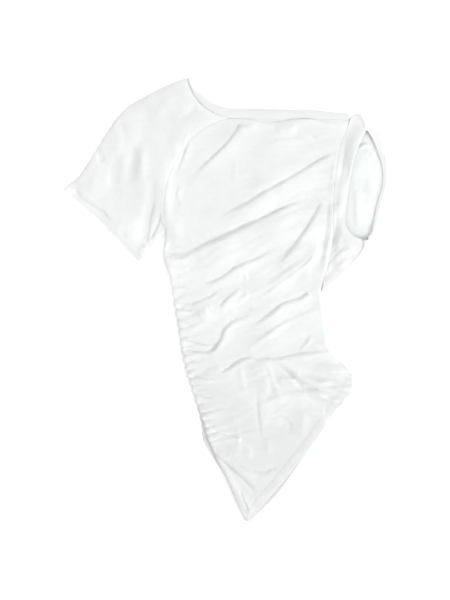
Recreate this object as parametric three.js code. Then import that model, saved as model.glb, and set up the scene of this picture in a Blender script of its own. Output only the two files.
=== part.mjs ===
// A draped off-shoulder jersey top, laid face up on a flat surface.
//
// One sleeve is a raglan tee sleeve, spread out flat. The other has dropped off the shoulder, so
// that its mouth stands open. Folds fan out from that shoulder to the far side seam, which is
// gathered all the way down, and the hem runs down to a point.
//
// Millimetres, +Z up. +Y runs from the hem's point to the neckline, and the raglan sleeve lies on
// the -X side. The origin is under the middle of the outline, on the surface that the top lies on.
import * as THREE from "three";

// ---------------------------------------------------------------- driving sizes
const CLOTH = 1.2; // wall of the jersey
const RIB = 1.6; // wall of the neckband
const SEAM_INSET = 0.65; // how far short of a seam line each of its two pieces stops
const LAYER_GAP = 0.5; // between the back and the front where they lie on each other
const NECKBAND_WIDTH = 16;
const BODY_LOFT = 2.2; // how far the front stands off the back between its folds
const SLEEVE_LOFT = 3.2;
const HIGHEST_FOLD = 19;
const EDGE_REACH = 15; // how far in from a side seam the front takes to rise to its loft
const KEPT_AT_GATHERS = 0.45; // the share of its height that the front keeps at the gathered seam
const KEPT_AT_FAR_SEAM = 0.2; // and at the other side seam
const KEPT_AT_SLEEVE_EDGE = 0.4; // and the raglan sleeve along its own edges
const KEPT_IN_CREASES = 0.15; // the share of a crease that still sinks below the flat
const GATHER_COUNT = 19;
const GATHER_RISE = 4.6;
const GATHER_SCALLOP = 1.8; // how far each gather pushes the side seam out
const GATHER_HALF_WIDTH = 5.4;
const GATHER_REACH = 44; // how far in from the seam a gather runs, more or less
const GATHER_REACH_SPREAD = 20;
const GATHER_DRIFT = 7; // how far a gather wanders up or down on its way
const GATHERS_FADE = 0.05; // the share of the gathered seam over which the gathers start and stop
const SLEEVE_KEPT_AT_CUFF = 0.5; // the share of its loft that the raglan sleeve keeps at its cuff
const BAND_CROWN = 0.8; // how far the neckband's upper layer bows up between its edges
const BAND_AT_START = 0.35; // the neckband's width at the raglan shoulder, as a share of its full width
const BAND_AT_END = 0.7; // and at the dropped shoulder

const BACK_MIDDLE = CLOTH / 2;
const FRONT_MIDDLE = CLOTH + LAYER_GAP + CLOTH / 2;

const { lerp, clamp, smoothstep } = THREE.MathUtils;

// ---------------------------------------------------------------- tables
/** Names the columns of a table, and gives one object for each row. */
function table(names, rows) {
  const keys = names.split(" ");
  return rows.map((row) => Object.fromEntries(keys.map((key, k) => [key, row[k]])));
}

/** A named column between two rows, on a Catmull-Rom curve through all of them. */
function between(rows, key, at) {
  const last = rows.length - 1;
  const row = clamp(Math.floor(at), 0, last - 1);
  const [a, b, c, d] = [-1, 0, 1, 2].map((step) => rows[clamp(row + step, 0, last)][key]);
  const t = at - row;
  const slopeB = (c - a) / 2;
  const slopeC = (d - b) / 2;
  return b + t * (slopeB + t * (3 * (c - b) - 2 * slopeB - slopeC + t * (2 * (b - c) + slopeB + slopeC)));
}

// The body's sections, from the neck seam to the hem's point: where each starts on the raglan side,
// where it ends on the dropped side, and how much further out the back reaches at either end. They
// fan out from the dropped shoulder, as the folds do.
const BODY = table("leftX leftY rightX rightY backLeft backRight", [
  [7, 328.5, 225, 324, 0, 0],
  [-39.5, 307, 218, 301.5, 0, 0],
  [-79, 267.5, 210.5, 283.5, 0, 0],
  [-102.5, 215, 205, 263.5, 0, 0],
  [-110, 166.5, 201.5, 242, 0, 0],
  [-106, 121.5, 198, 215, 0, 0],
  [-110, 80, 196, 184.5, 0, 0],
  [-97, 37, 194.5, 148.5, 0, 0],
  [-90, -6.5, 194.5, 107, 0, 0],
  [-83, -46, 187, 67.5, 0, 0],
  [-77.5, -85.5, 174.5, 17, 0, 0],
  [-70, -121.5, 180, -33.5, 0, 0],
  [-61, -152, 187, -85.5, 0, 0],
  [-48.5, -188, 207, -109, 1, -12],
  [-36, -222.5, 228.5, -134, 5, -24],
  [-29, -249.5, 227, -164.5, 9, -22],
  [-20, -271, 201.5, -195.5, 7, -6],
  [-11, -292.5, 167.5, -245.5, 3, 0],
  [3.5, -323, 128, -296, 0, 6],
  [20, -361, 81, -353.5, 0, 11],
  [36, -395, 41.5, -397, 0, 3],
]);
const ARMPIT = 5; // the section where the raglan seam ends and the side seam starts
const UNDERARM = 10; // the section where the dropped sleeve's seam ends
const HIP = 12; // the section where the dropped side's seam ends in a free hem
const POINT = BODY.length - 1;
const FIRST_SECTION = 0.015; // just short of the neck seam
const GATHERED_FROM = 6.9; // the sections between which the side seam is gathered
const GATHERED_TO = 15.2;

// The raglan sleeve's sections, from the neck to the cuff: the folded edge on top of the shoulder,
// and the bow of the section. Its under edge follows the raglan seam down to the armpit.
const SLEEVE_FOLD = table("x y bow", [
  [-68.5, 399, 17],
  [-99, 388, 8],
  [-135, 370, 2],
  [-171, 350, 0],
  [-194.5, 326.5, 0],
  [-216, 294.5, 0],
  [-239.5, 256.5, 0],
  [-263, 222, 0],
  [-290, 201, -5],
]);
const SLEEVE_UNDERARM = table("x y", [
  [-106, 121.5],
  [-122.5, 103.5],
  [-137, 82],
  [-151, 67.5],
]);
const CUFF = SLEEVE_FOLD.length - 1;

// The dropped sleeve's stations, from the shoulder to the underarm: the body's section that each
// starts from, its hem on the front, its hem on the back, and the bend that the back takes on its
// way there, past the hem. The back lies flat, and then curls up and in to its hem.
const MOUTH = table("section frontX frontY frontZ bendX bendY backX backY backZ", [
  [0, 251.5, 300.5, 8.5, 247, 352, 258, 303.5, 7.5],
  [1, 244.5, 288.5, 9.5, 296, 318, 266, 289, 8],
  [2.2, 234.5, 268, 10.5, 314, 283, 275.5, 268, 8],
  [3.8, 227.5, 241, 11, 318, 254, 283, 243, 8],
  [5.4, 224.5, 204, 11, 312, 216, 283.5, 210, 7.5],
  [6.8, 223, 165, 11, 306, 180, 273.5, 176, 7],
  [7.8, 223.5, 137, 10.5, 298, 154, 269, 148, 7],
  [8.8, 231, 118.5, 9.5, 290, 134, 266.5, 131, 6.5],
  [9.5, 240.5, 111, 9, 280, 115, 264, 121, 6],
  [10, 246, 110, 9.5, 262, 88, 257.5, 114, 6],
]);
const LAST_STATION = MOUTH.length - 1;
const CURL_FROM = 0.5; // where the back starts to curl up, as a share of its way to the hem
const CURL_SOONER = 0.28; // how much sooner it does at the folds between the two layers
const FOLD_REACH = 0.6; // how many stations in from either end the fold between the layers is felt
const FIRST_SAMPLED = 0.06; // the stations from which the layers turn into each other
const LAST_SAMPLED = LAST_STATION - 0.12;

// Folds that stand up, each along a curve from one end through its bend to the other end.
const RIDGES = table("fromX fromY bendX bendY toX toY halfWidth rise", [
  // the fan across the chest, from the dropped shoulder to the gathered side
  [188, 292, 66, 226, -52, 156, 34, 5],
  [208, 266, 96, 172, -78, 102, 16, 13],
  [170, 192, 84, 124, -68, 56, 19, 8],
  [138, 128, 38, 100, -74, 54, 13, 7.5],
  [195, 178, 152, 98, 70, 14, 13, 12],
  [180, 68, 108, 26, -56, -34, 13, 9],
  [112, 76, 28, 30, -58, 2, 13, 8],
  [176, 42, 118, 14, 34, -28, 11, 8],
  [174, 0, 108, -28, 16, -84, 13, 9],
  [170, -46, 98, -64, 6, -114, 12, 8],
  // the fold across the hip, and the ruffle that it runs out into
  [192, -98, 108, -110, -18, -138, 10, 8],
  [136, -124, 182, -142, 224, -152, 13, 14],
  [108, -146, 164, -166, 212, -182, 11, 8],
  [176, -106, 208, -120, 228, -134, 9, 10],
  // the lower front
  [46, -138, 50, -182, 44, -236, 14, 3.6],
  [88, -182, 118, -190, 146, -184, 14, 3.2],
  [4, -236, 16, -243, 34, -240, 7, 5],
  [-4, -272, 38, -290, 110, -302, 12, 4],
  [-14, -272, 14, -322, 44, -380, 7, 6.5],
  [28, -308, 54, -330, 78, -344, 8, 5.5],
  // under the neckband and along the raglan seam
  [22, 308, -6, 266, -46, 218, 12, 4.6],
  [-44, 288, -62, 252, -76, 206, 10, 3.6],
  [-76, 270, -92, 224, -98, 152, 8, 4.6],
  [72, 302, 116, 308, 144, 316, 9, 3.6],
  [166, 288, 186, 308, 206, 316, 8, 4.2],
  // down the dropped sleeve's seam
  [216, 308, 202, 260, 196, 196, 8, 6],
  [190, 196, 186, 126, 174, 44, 8, 6],
  [208, 226, 206, 168, 202, 100, 6, 7],
  // the raglan sleeve: two soft folds, the creases at its underarm and its curled cuff
  [-182, 318, -196, 250, -176, 176, 22, 2.6],
  [-118, 330, -134, 250, -138, 168, 20, 2.2],
  [-112, 176, -124, 142, -136, 104, 7, 4.4],
  [-282, 202, -250, 166, -212, 134, 8, 3.4],
]);

// Creases that sink in, in the same way.
const CREASES = table("fromX fromY bendX bendY toX toY halfWidth depth", [
  [196, 270, 90, 197, -24, 140, 6, 7],
  [144, 178, 58, 132, -104, 90, 7, 10],
  [176, 184, 144, 116, 94, 56, 6, 7],
  [46, 76, 10, 48, -40, 28, 5, 4],
  [168, 20, 106, -12, 40, -48, 6, 4],
  [-80, -72, -34, -88, 2, -64, 5, 4],
  [46, -102, 24, -112, -6, -128, 5, 5],
  [150, -68, 142, -76, 130, -92, 5, 4],
  [186, -92, 118, -101, 36, -104, 6, 4],
  [106, -132, 160, -158, 218, -170, 7, 5],
  [182, -134, 200, -140, 218, -148, 5, 4],
  [140, -168, 172, -182, 208, -194, 7, 5],
  [62, -180, 60, -208, 66, -240, 6, 3],
  [-14, -276, 36, -304, 100, -318, 5, 3.4],
  [-4, -286, 28, -322, 60, -344, 6, 4],
  [28, 320, -4, 270, -58, 220, 5, 3.6],
  [-68, 288, -64, 262, -60, 240, 5, 3],
]);

// ---------------------------------------------------------------- the relief of the upper cloth
/** An uneven number from -1 to 1 for each whole number, always the same one. */
function uneven(k) {
  return Math.sin(12.9898 * k + 78.233 * Math.sin(k * 1.7 + 0.4));
}

/** How far the gathers push the side seam out at a section. */
function scallop(section) {
  const share = clamp((section - GATHERED_FROM) / (GATHERED_TO - GATHERED_FROM), 0, 1);
  const fade = smoothstep(share, 0, GATHERS_FADE) * (1 - smoothstep(share, 1 - GATHERS_FADE, 1));
  const push = (1 - Math.cos(2 * Math.PI * GATHER_COUNT * share)) / 2;
  return GATHER_SCALLOP * fade * push;
}

/** The point on a section of the body, from 0 at its left end to 1 at its right end. */
function bodyPoint(section, across) {
  const leftX = between(BODY, "leftX", section) - scallop(section);
  const x = lerp(leftX, between(BODY, "rightX", section), across);
  const y = lerp(between(BODY, "leftY", section), between(BODY, "rightY", section), across);
  return new THREE.Vector2(x, y);
}

/** Short folds that run in from the gathered side seam, each a little unlike the last. */
function gathers() {
  const rows = [];
  for (let k = 0; k < GATHER_COUNT; k++) {
    const share = (k + 0.5 + 0.22 * uneven(k)) / GATHER_COUNT;
    const start = bodyPoint(lerp(GATHERED_FROM, GATHERED_TO, share), 0);
    const reach = GATHER_REACH + GATHER_REACH_SPREAD * uneven(k + 40);
    const drift = GATHER_DRIFT * uneven(k + 80);
    rows.push({
      fromX: start.x - 6,
      fromY: start.y + 1,
      bendX: start.x + reach * 0.45,
      bendY: start.y - 4 + drift * 0.3,
      toX: start.x + reach,
      toY: start.y + 3 + drift,
      halfWidth: GATHER_HALF_WIDTH * (1 + 0.15 * uneven(k + 7)),
      rise: GATHER_RISE * (1 + 0.3 * uneven(k + 19)),
    });
  }
  return rows;
}

const CURVE_STEPS = 14;

/** Adds to each fold the points of its curve, which passes through its bend half way. */
function traced(folds) {
  return folds.map((fold) => {
    const middleX = 2 * fold.bendX - (fold.fromX + fold.toX) / 2;
    const middleY = 2 * fold.bendY - (fold.fromY + fold.toY) / 2;
    const curve = new THREE.QuadraticBezierCurve(
      new THREE.Vector2(fold.fromX, fold.fromY),
      new THREE.Vector2(middleX, middleY),
      new THREE.Vector2(fold.toX, fold.toY),
    );
    return { ...fold, points: curve.getPoints(CURVE_STEPS) };
  });
}

/** How far a place lies from a fold's curve, and how strong the fold is there. */
function nearest(fold, x, y) {
  let distance = Infinity;
  let along = 0;
  for (let k = 0; k < CURVE_STEPS; k++) {
    const a = fold.points[k];
    const b = fold.points[k + 1];
    const [dx, dy] = [b.x - a.x, b.y - a.y];
    const t = clamp(((x - a.x) * dx + (y - a.y) * dy) / (dx * dx + dy * dy), 0, 1);
    const away = Math.hypot(x - a.x - t * dx, y - a.y - t * dy);
    if (away < distance) {
      distance = away;
      along = (k + t) / CURVE_STEPS;
    }
  }
  const strength = Math.sqrt(Math.max(0, Math.sin(Math.PI * along)));
  return { distance, strength };
}

const RAISED = traced([...RIDGES, ...gathers()]);
const SUNK = traced(CREASES);

/** How far the folds lift the cloth at a place, never below the flat. */
function relief(x, y) {
  let height = 0;
  for (const fold of RAISED) {
    const { distance, strength } = nearest(fold, x, y);
    height += fold.rise * strength * Math.exp(-((distance / fold.halfWidth) ** 2));
  }
  for (const fold of SUNK) {
    const { distance, strength } = nearest(fold, x, y);
    height -= fold.depth * strength * Math.exp(-distance / fold.halfWidth);
  }
  const soft = height > 0 ? height : KEPT_IN_CREASES * height;
  return HIGHEST_FOLD * Math.tanh(Math.max(0, soft + BODY_LOFT) / HIGHEST_FOLD);
}

// ---------------------------------------------------------------- cloth as a wall
/** The closed wall, of a given thickness, round a grid of points on the cloth's middle. */
function clothWall(grid, thickness, isTube = false) {
  const rows = grid.length;
  const columns = grid[0].length;
  const pick = (i, j) => grid[clamp(i, 0, rows - 1)][isTube ? (j + columns) % columns : clamp(j, 0, columns - 1)];
  const normals = grid.map((row, i) =>
    row.map((_, j) => {
      const down = pick(i + 1, j).clone().sub(pick(i - 1, j));
      const over = pick(i, j + 1).clone().sub(pick(i, j - 1));
      return over.cross(down).normalize();
    }),
  );
  const positions = [];
  for (const side of [0.5, -0.5]) {
    for (let i = 0; i < rows; i++) {
      for (let j = 0; j < columns; j++) {
        positions.push(...grid[i][j].clone().addScaledVector(normals[i][j], side * thickness).toArray());
      }
    }
  }
  const at = (i, j, side) => side * rows * columns + i * columns + (j % columns);
  const index = [];
  const quad = (a, b, c, d) => index.push(a, b, c, a, c, d);
  const lastColumn = isTube ? columns : columns - 1;
  for (let i = 0; i < rows - 1; i++) {
    for (let j = 0; j < lastColumn; j++) {
      // A four-sided patch is cut along the diagonal that the cloth bends over less, so that folds run true.
      const next = (j + 1) % columns;
      const falling = normals[i][j].dot(normals[i + 1][next]);
      const rising = normals[i + 1][j].dot(normals[i][next]);
      const corners = [[i, j], [i + 1, j], [i + 1, j + 1], [i, j + 1]];
      if (rising > falling) corners.push(corners.shift());
      quad(...corners.map(([row, column]) => at(row, column, 0)));
      quad(...corners.map(([row, column]) => at(row, column, 1)).reverse());
    }
  }
  for (let j = 0; j < lastColumn; j++) {
    quad(at(0, j, 0), at(0, j + 1, 0), at(0, j + 1, 1), at(0, j, 1));
    quad(at(rows - 1, j + 1, 0), at(rows - 1, j, 0), at(rows - 1, j, 1), at(rows - 1, j + 1, 1));
  }
  for (let i = 0; i < rows - 1 && !isTube; i++) {
    quad(at(i + 1, 0, 0), at(i, 0, 0), at(i, 0, 1), at(i + 1, 0, 1));
    quad(at(i, columns - 1, 0), at(i + 1, columns - 1, 0), at(i + 1, columns - 1, 1), at(i, columns - 1, 1));
  }
  return facingOut(positions, index);
}

/** A geometry from points and triangles, all turned round if they face inwards. */
function facingOut(positions, index) {
  const corner = (k) => new THREE.Vector3().fromArray(positions, index[k] * 3);
  let volume = 0;
  for (let k = 0; k < index.length; k += 3) {
    volume += corner(k).dot(corner(k + 1).cross(corner(k + 2)));
  }
  if (volume < 0) index.reverse();
  const geometry = new THREE.BufferGeometry();
  geometry.setAttribute("position", new THREE.Float32BufferAttribute(positions, 3));
  geometry.setIndex(index);
  geometry.computeVertexNormals();
  return geometry;
}

/** The half round turn between an upper and a lower layer, ends left out, from the first to the last. */
function turn(first, last, outwards, steps = 3) {
  const centre = first.clone().add(last).multiplyScalar(0.5);
  const arm = first.clone().sub(centre);
  const bulge = outwards.clone().addScaledVector(arm, -outwards.dot(arm) / arm.lengthSq()).setLength(arm.length());
  const points = [];
  for (let k = 1; k <= steps; k++) {
    const angle = (Math.PI * k) / (steps + 1);
    points.push(centre.clone().addScaledVector(arm, Math.cos(angle)).addScaledVector(bulge, Math.sin(angle)));
  }
  return points;
}

/** The level direction from one point to another. */
function levelDirection(from, to) {
  return new THREE.Vector3(to.x - from.x, to.y - from.y, 0).normalize();
}

/** Numbers from first to last, count + 1 of them. */
function spread(first, last, count) {
  return Array.from({ length: count + 1 }, (_, k) => lerp(first, last, k / count));
}

// ---------------------------------------------------------------- front and back
// The sections that are sampled: four to a gather where the side seam is gathered.
const FRONT_SECTIONS = [
  ...spread(FIRST_SECTION, GATHERED_FROM - 0.2, 19),
  ...spread(GATHERED_FROM, GATHERED_TO, 4 * GATHER_COUNT - 4),
  ...spread(GATHERED_TO + 0.3, POINT, 12),
];
const FRONT_COLUMNS = 22;
const CLOSER_AT_LEFT = 1.3; // above 1 the columns stand closer together at the gathered side
const BACK_ROWS = 38;
const BACK_COLUMNS = 5;

/** How much of its height the front keeps near its side seams, and 1 along a free hem. */
function heldAtSeams(section, across) {
  const width = bodyPoint(section, 0).distanceTo(bodyPoint(section, 1));
  const rises = (distance) => smoothstep(distance, 0, EDGE_REACH);
  const sideSeam = smoothstep(section, ARMPIT - 1, ARMPIT);
  const farSeam = smoothstep(section, UNDERARM - 0.5, UNDERARM) * (1 - smoothstep(section, HIP - 0.5, HIP + 0.3));
  const left = lerp(KEPT_AT_GATHERS, 1, rises(across * width));
  const right = lerp(KEPT_AT_FAR_SEAM, 1, rises((1 - across) * width));
  return lerp(1, left, sideSeam) * lerp(1, right, farSeam);
}

function frontGeometry() {
  const grid = FRONT_SECTIONS.map((section) => {
    const width = bodyPoint(section, 0).distanceTo(bodyPoint(section, 1));
    const inset = SEAM_INSET / width;
    return spread(0, 1, FRONT_COLUMNS).map((column) => {
      const across = lerp(inset, 1 - inset, column ** CLOSER_AT_LEFT);
      const { x, y } = bodyPoint(section, across);
      return new THREE.Vector3(x, y, FRONT_MIDDLE + relief(x, y) * heldAtSeams(section, across));
    });
  });
  return clothWall(grid, CLOTH);
}

function backGeometry() {
  const grid = spread(FIRST_SECTION, POINT, BACK_ROWS).map((section) => {
    const left = bodyPoint(section, 0);
    const right = bodyPoint(section, 1);
    const width = left.distanceTo(right);
    const reachLeft = (between(BODY, "backLeft", section) - SEAM_INSET) / width;
    const reachRight = (between(BODY, "backRight", section) - SEAM_INSET) / width;
    return spread(-reachLeft, 1 + reachRight, BACK_COLUMNS).map((across) => {
      const { x, y } = bodyPoint(section, across);
      return new THREE.Vector3(x, y, BACK_MIDDLE);
    });
  });
  return clothWall(grid, CLOTH);
}

// ---------------------------------------------------------------- raglan sleeve
/** The sleeve's under edge at a section: the raglan seam, and then the underarm seam. */
function sleeveUnder(section) {
  if (section <= ARMPIT) return bodyPoint(section, 0);
  const at = section - ARMPIT;
  return new THREE.Vector2(between(SLEEVE_UNDERARM, "x", at), between(SLEEVE_UNDERARM, "y", at));
}

/** A point of the flat sleeve, from 0 at the shoulder fold to 1 at the seam. */
function sleevePoint(section, across) {
  const fold = new THREE.Vector2(between(SLEEVE_FOLD, "x", section), between(SLEEVE_FOLD, "y", section));
  const under = sleeveUnder(section);
  const along = under.clone().sub(fold);
  const sideways = new THREE.Vector2(along.y, -along.x).normalize();
  const bow = between(SLEEVE_FOLD, "bow", section) * 4 * across * (1 - across);
  return fold.addScaledVector(along, across).addScaledVector(sideways, bow);
}

const AT_FOLD = 0.02; // just inside the folded edge, as a share of the sleeve's width

function raglanSleeveGeometry() {
  const grid = spread(FIRST_SECTION, CUFF, 20).map((section) => {
    const fold = sleevePoint(section, 0);
    const width = fold.distanceTo(sleevePoint(section, 1));
    const seam = 1 - SEAM_INSET / width;
    const upper = (across) => {
      const { x, y } = sleevePoint(section, across);
      const full = Math.sqrt(Math.sin(Math.PI * clamp(across, AT_FOLD, 1 - AT_FOLD)));
      const atCuff = lerp(1, SLEEVE_KEPT_AT_CUFF, smoothstep(section, CUFF - 1, CUFF));
      const held = lerp(1, lerp(KEPT_AT_SLEEVE_EDGE, 1, full), smoothstep(section, ARMPIT - 2, ARMPIT));
      const height = relief(x, y) * held + (SLEEVE_LOFT - BODY_LOFT) * full * atCuff;
      return new THREE.Vector3(x, y, FRONT_MIDDLE + height);
    };
    const lower = (across) => {
      const { x, y } = sleevePoint(section, across);
      return new THREE.Vector3(x, y, BACK_MIDDLE);
    };
    const radius = (upper(AT_FOLD).z - BACK_MIDDLE) / 2;
    const start = radius / width;
    const outwards = levelDirection(upper(0.1), upper(0));
    const over = spread(start, seam, 13).map(upper);
    const under = spread(seam, start, 8).map(lower);
    return [...under, ...turn(under.at(-1), over[0], outwards), ...over];
  });
  return clothWall(grid, CLOTH);
}

// ---------------------------------------------------------------- dropped sleeve
/** How much a station shares the bend of the fold between the two layers: 1 at either end. */
function atFold(station) {
  const away = Math.min(station, LAST_STATION - station) / FOLD_REACH;
  return Math.exp(-away * away);
}

/** The curve that a station takes over the surface, from the armhole seam to its hem. */
function mouthPoint(station, out, layer) {
  const seam = bodyPoint(between(MOUTH, "section", station), 1);
  const hem = new THREE.Vector2(between(MOUTH, `${layer}X`, station), between(MOUTH, `${layer}Y`, station));
  const bend = new THREE.Vector2(between(MOUTH, "bendX", station), between(MOUTH, "bendY", station));
  if (layer === "front") bend.lerp(seam.clone().add(hem).multiplyScalar(0.5), 1 - atFold(station));
  const point = new THREE.QuadraticBezierCurve(seam, bend, hem).getPoint(out);
  point.x += SEAM_INSET * (1 - out);
  return point;
}

function droppedSleeveGeometry() {
  const grid = spread(0, 1, 11).map((out) => {
    const upper = (station) => {
      const { x, y } = mouthPoint(station, out, "front");
      const stands = between(MOUTH, "frontZ", station);
      return new THREE.Vector3(x, y, lerp(FRONT_MIDDLE + relief(x, y), stands, smoothstep(out, 0, 1)));
    };
    const lower = (station) => {
      const { x, y } = mouthPoint(station, out, "back");
      const curl = smoothstep(out, CURL_FROM - CURL_SOONER * atFold(station), 1);
      return new THREE.Vector3(x, y, lerp(BACK_MIDDLE, between(MOUTH, "backZ", station), curl));
    };
    const over = spread(FIRST_SAMPLED, LAST_SAMPLED, 17).map(upper);
    const under = spread(LAST_SAMPLED, FIRST_SAMPLED, 17).map(lower);
    const toUnderarm = levelDirection(over.at(-3), over.at(-1));
    const toShoulder = levelDirection(over[2], over[0]);
    return [
      ...over,
      ...turn(over.at(-1), under[0], toUnderarm),
      ...under,
      ...turn(under.at(-1), over[0], toShoulder),
    ];
  });
  return clothWall(grid, CLOTH, true);
}

// ---------------------------------------------------------------- neckband
const NECK_SPLIT = 0.38; // the share of the neck seam that lies on the raglan sleeve
const BAND_FROM = 0.01; // the ends of the band, as shares of the neck seam
const BAND_TO = 0.992;
const BAND_LOOK_ROUND = 0.06; // how far either way a point looks for the seam's direction

/** The neck seam, from 0 at the raglan shoulder to 1 at the dropped shoulder. */
function neckSeam(share) {
  if (share < NECK_SPLIT) return sleevePoint(0, share / NECK_SPLIT);
  return bodyPoint(0, (share - NECK_SPLIT) / (1 - NECK_SPLIT));
}

/** A point of the band, from 0 at the neck seam to 1 at its free edge. */
function bandPoint(share, out) {
  const before = neckSeam(clamp(share - BAND_LOOK_ROUND, 0, 1));
  const after = neckSeam(clamp(share + BAND_LOOK_ROUND, 0, 1));
  const along = after.sub(before);
  const upwards = new THREE.Vector2(-along.y, along.x).normalize();
  const atStart = lerp(BAND_AT_START, 1, smoothstep(share, 0, 0.22));
  const atEnd = lerp(1, BAND_AT_END, smoothstep(share, 0.8, 1));
  const width = NECKBAND_WIDTH * atStart * atEnd;
  return neckSeam(share).addScaledVector(upwards, SEAM_INSET + out * (width - SEAM_INSET));
}

function neckbandGeometry() {
  const lowerMiddle = RIB / 2;
  const upperMiddle = lowerMiddle + RIB + 2 * LAYER_GAP;
  const grid = spread(0, 1, 3).map((out) => {
    const layer = (share, middle, crown) => {
      const { x, y } = bandPoint(share, out);
      return new THREE.Vector3(x, y, middle + crown * Math.sin(Math.PI * out));
    };
    const over = spread(BAND_FROM, BAND_TO, 32).map((share) => layer(share, upperMiddle, BAND_CROWN));
    const under = spread(BAND_TO, BAND_FROM, 32).map((share) => layer(share, lowerMiddle, 0));
    return [
      ...over,
      ...turn(over.at(-1), under[0], levelDirection(over.at(-2), over.at(-1))),
      ...under,
      ...turn(under.at(-1), over[0], levelDirection(over[1], over[0])),
    ];
  });
  return clothWall(grid, RIB, true);
}

// ---------------------------------------------------------------- the garment
const JERSEY_WHITE = 0xf4f5f3;
const JERSEY_ROUGHNESS = 0.85;
const RIB_WHITE = 0xeff0ee;
const RIB_ROUGHNESS = 0.9;

/** One piece of the garment: its name, its geometry, and the colour and roughness of its cloth. */
function piece(name, geometry, color, roughness) {
  const material = new THREE.MeshStandardMaterial({ color, roughness, metalness: 0, side: THREE.DoubleSide });
  const mesh = new THREE.Mesh(geometry, material);
  mesh.name = name;
  return mesh;
}

const garment = new THREE.Group();
garment.name = "draped_top";
garment.add(
  piece("front_panel", frontGeometry(), JERSEY_WHITE, JERSEY_ROUGHNESS),
  piece("back_panel", backGeometry(), JERSEY_WHITE, JERSEY_ROUGHNESS),
  piece("raglan_sleeve", raglanSleeveGeometry(), JERSEY_WHITE, JERSEY_ROUGHNESS),
  piece("dropped_sleeve", droppedSleeveGeometry(), JERSEY_WHITE, JERSEY_ROUGHNESS),
  piece("neckband", neckbandGeometry(), RIB_WHITE, RIB_ROUGHNESS),
);

// The outline's middle is moved over the origin, and its underside onto the surface.
const reach = new THREE.Box3().setFromObject(garment, true);
const middle = reach.getCenter(new THREE.Vector3());
garment.position.set(-middle.x, -middle.y, -reach.min.z);

export default garment;
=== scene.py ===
"""A draped off-shoulder jersey top, laid face up on a pale floor.

The tables are in millimetres, in the cutting frame that the part's solids are drawn in: +X towards the
dropped sleeve, +Y towards the neckline, +Z up off the floor. Meshes are made from them in metres.
"""

import logging
import math
from collections.abc import Callable
from dataclasses import dataclass, field
from enum import Enum
from functools import partial

import bpy
import numpy as np
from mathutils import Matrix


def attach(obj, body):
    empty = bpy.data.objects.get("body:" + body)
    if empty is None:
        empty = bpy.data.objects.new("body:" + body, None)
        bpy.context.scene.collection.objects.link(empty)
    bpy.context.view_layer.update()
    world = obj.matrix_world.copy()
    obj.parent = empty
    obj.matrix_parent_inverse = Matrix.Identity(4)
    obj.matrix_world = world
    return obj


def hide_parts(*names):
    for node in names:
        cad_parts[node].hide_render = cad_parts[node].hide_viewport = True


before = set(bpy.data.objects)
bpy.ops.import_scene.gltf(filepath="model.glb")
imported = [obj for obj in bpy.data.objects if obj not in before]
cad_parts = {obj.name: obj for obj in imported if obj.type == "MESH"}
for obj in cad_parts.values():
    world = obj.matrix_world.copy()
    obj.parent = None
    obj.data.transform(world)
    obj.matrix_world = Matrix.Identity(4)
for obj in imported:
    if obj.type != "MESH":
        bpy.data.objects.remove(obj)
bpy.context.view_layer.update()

MM = 0.001
TINY = 1e-9
OUTLINE_MIDDLE = (0.658, 0.941)  # where the middle of the garment's outline lies in the tables' frame
BODY_NAME = "root"
FLOOR_NAME = "studio_floor"

Path = tuple[tuple[float, float], ...]
Table = tuple[tuple[float, ...], ...]
Colour = tuple[float, float, float]
Socket = bpy.types.NodeSocket
SewingRow = tuple[np.ndarray, np.ndarray]  # points on the cloth's face, and the normals there

log = logging.getLogger("draped_top")


class Slot(Enum):
    """The record's material slots, one of which each piece keeps."""

    JERSEY = "jersey"
    RIB = "rib"


class Hand(Enum):
    """How a sheet of cloth is held where it lies."""

    DRAPED = "draped"
    FOLDED = "folded"
    GATHERED = "gathered"
    LAID = "laid"


# ------------------------------------------------------------------------------------------ numbers
def smooth(value: np.ndarray, low: float, high: float) -> np.ndarray:
    """Rises smoothly from 0 where the value is low to 1 where it is high."""
    share = np.clip((np.asarray(value, float) - low) / (high - low), 0.0, 1.0)
    return share * share * (3.0 - 2.0 * share)


def window(value: np.ndarray, start: float, full: float, fall: float, end: float) -> np.ndarray:
    """Rises from 0 to 1 between start and full, and falls back to 0 between fall and end."""
    return smooth(value, start, full) * (1.0 - smooth(value, fall, end))


def bell(distance: np.ndarray, reach: float) -> np.ndarray:
    """1 at no distance, a third at the reach, and next to nothing at twice the reach."""
    return np.exp(-((distance / reach) ** 2))


def mix(first: np.ndarray, last: np.ndarray, share: np.ndarray) -> np.ndarray:
    """Goes in a straight line from the first number at share 0 to the last at share 1."""
    return first + (last - first) * share


def unit(vectors: np.ndarray) -> np.ndarray:
    """Vectors of the same directions, with length 1."""
    return vectors / np.maximum(np.linalg.norm(vectors, axis=-1, keepdims=True), TINY)


def along_rows(rows: Table | np.ndarray, at: np.ndarray) -> np.ndarray:
    """Reads a table between its rows, on a Catmull-Rom curve through all of them.

    Args:
        rows: The table, a row for each station.
        at: Row numbers, with fractions.

    Returns:
        The table's values there, with the columns on the last axis.
    """
    rows = np.asarray(rows, float)
    at = np.asarray(at, float)
    last = len(rows) - 1
    row = np.clip(np.floor(at).astype(int), 0, last - 1)
    a, b, c, d = (rows[np.clip(row + step, 0, last)] for step in (-1, 0, 1, 2))
    t = (at - row)[..., None]
    slope_b = (c - a) / 2.0
    slope_c = (d - b) / 2.0
    bend = 3.0 * (c - b) - 2.0 * slope_b - slope_c + t * (2.0 * (b - c) + slope_b + slope_c)
    return b + t * (slope_b + t * bend)


def roll_down(distance: np.ndarray, radius: float) -> np.ndarray:
    """The height of a rolled edge on a quarter circle, from 0 at the edge to 1 past the radius."""
    inside = np.clip(1.0 - distance / radius, 0.0, 1.0)
    return np.sqrt(1.0 - inside**2)


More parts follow.
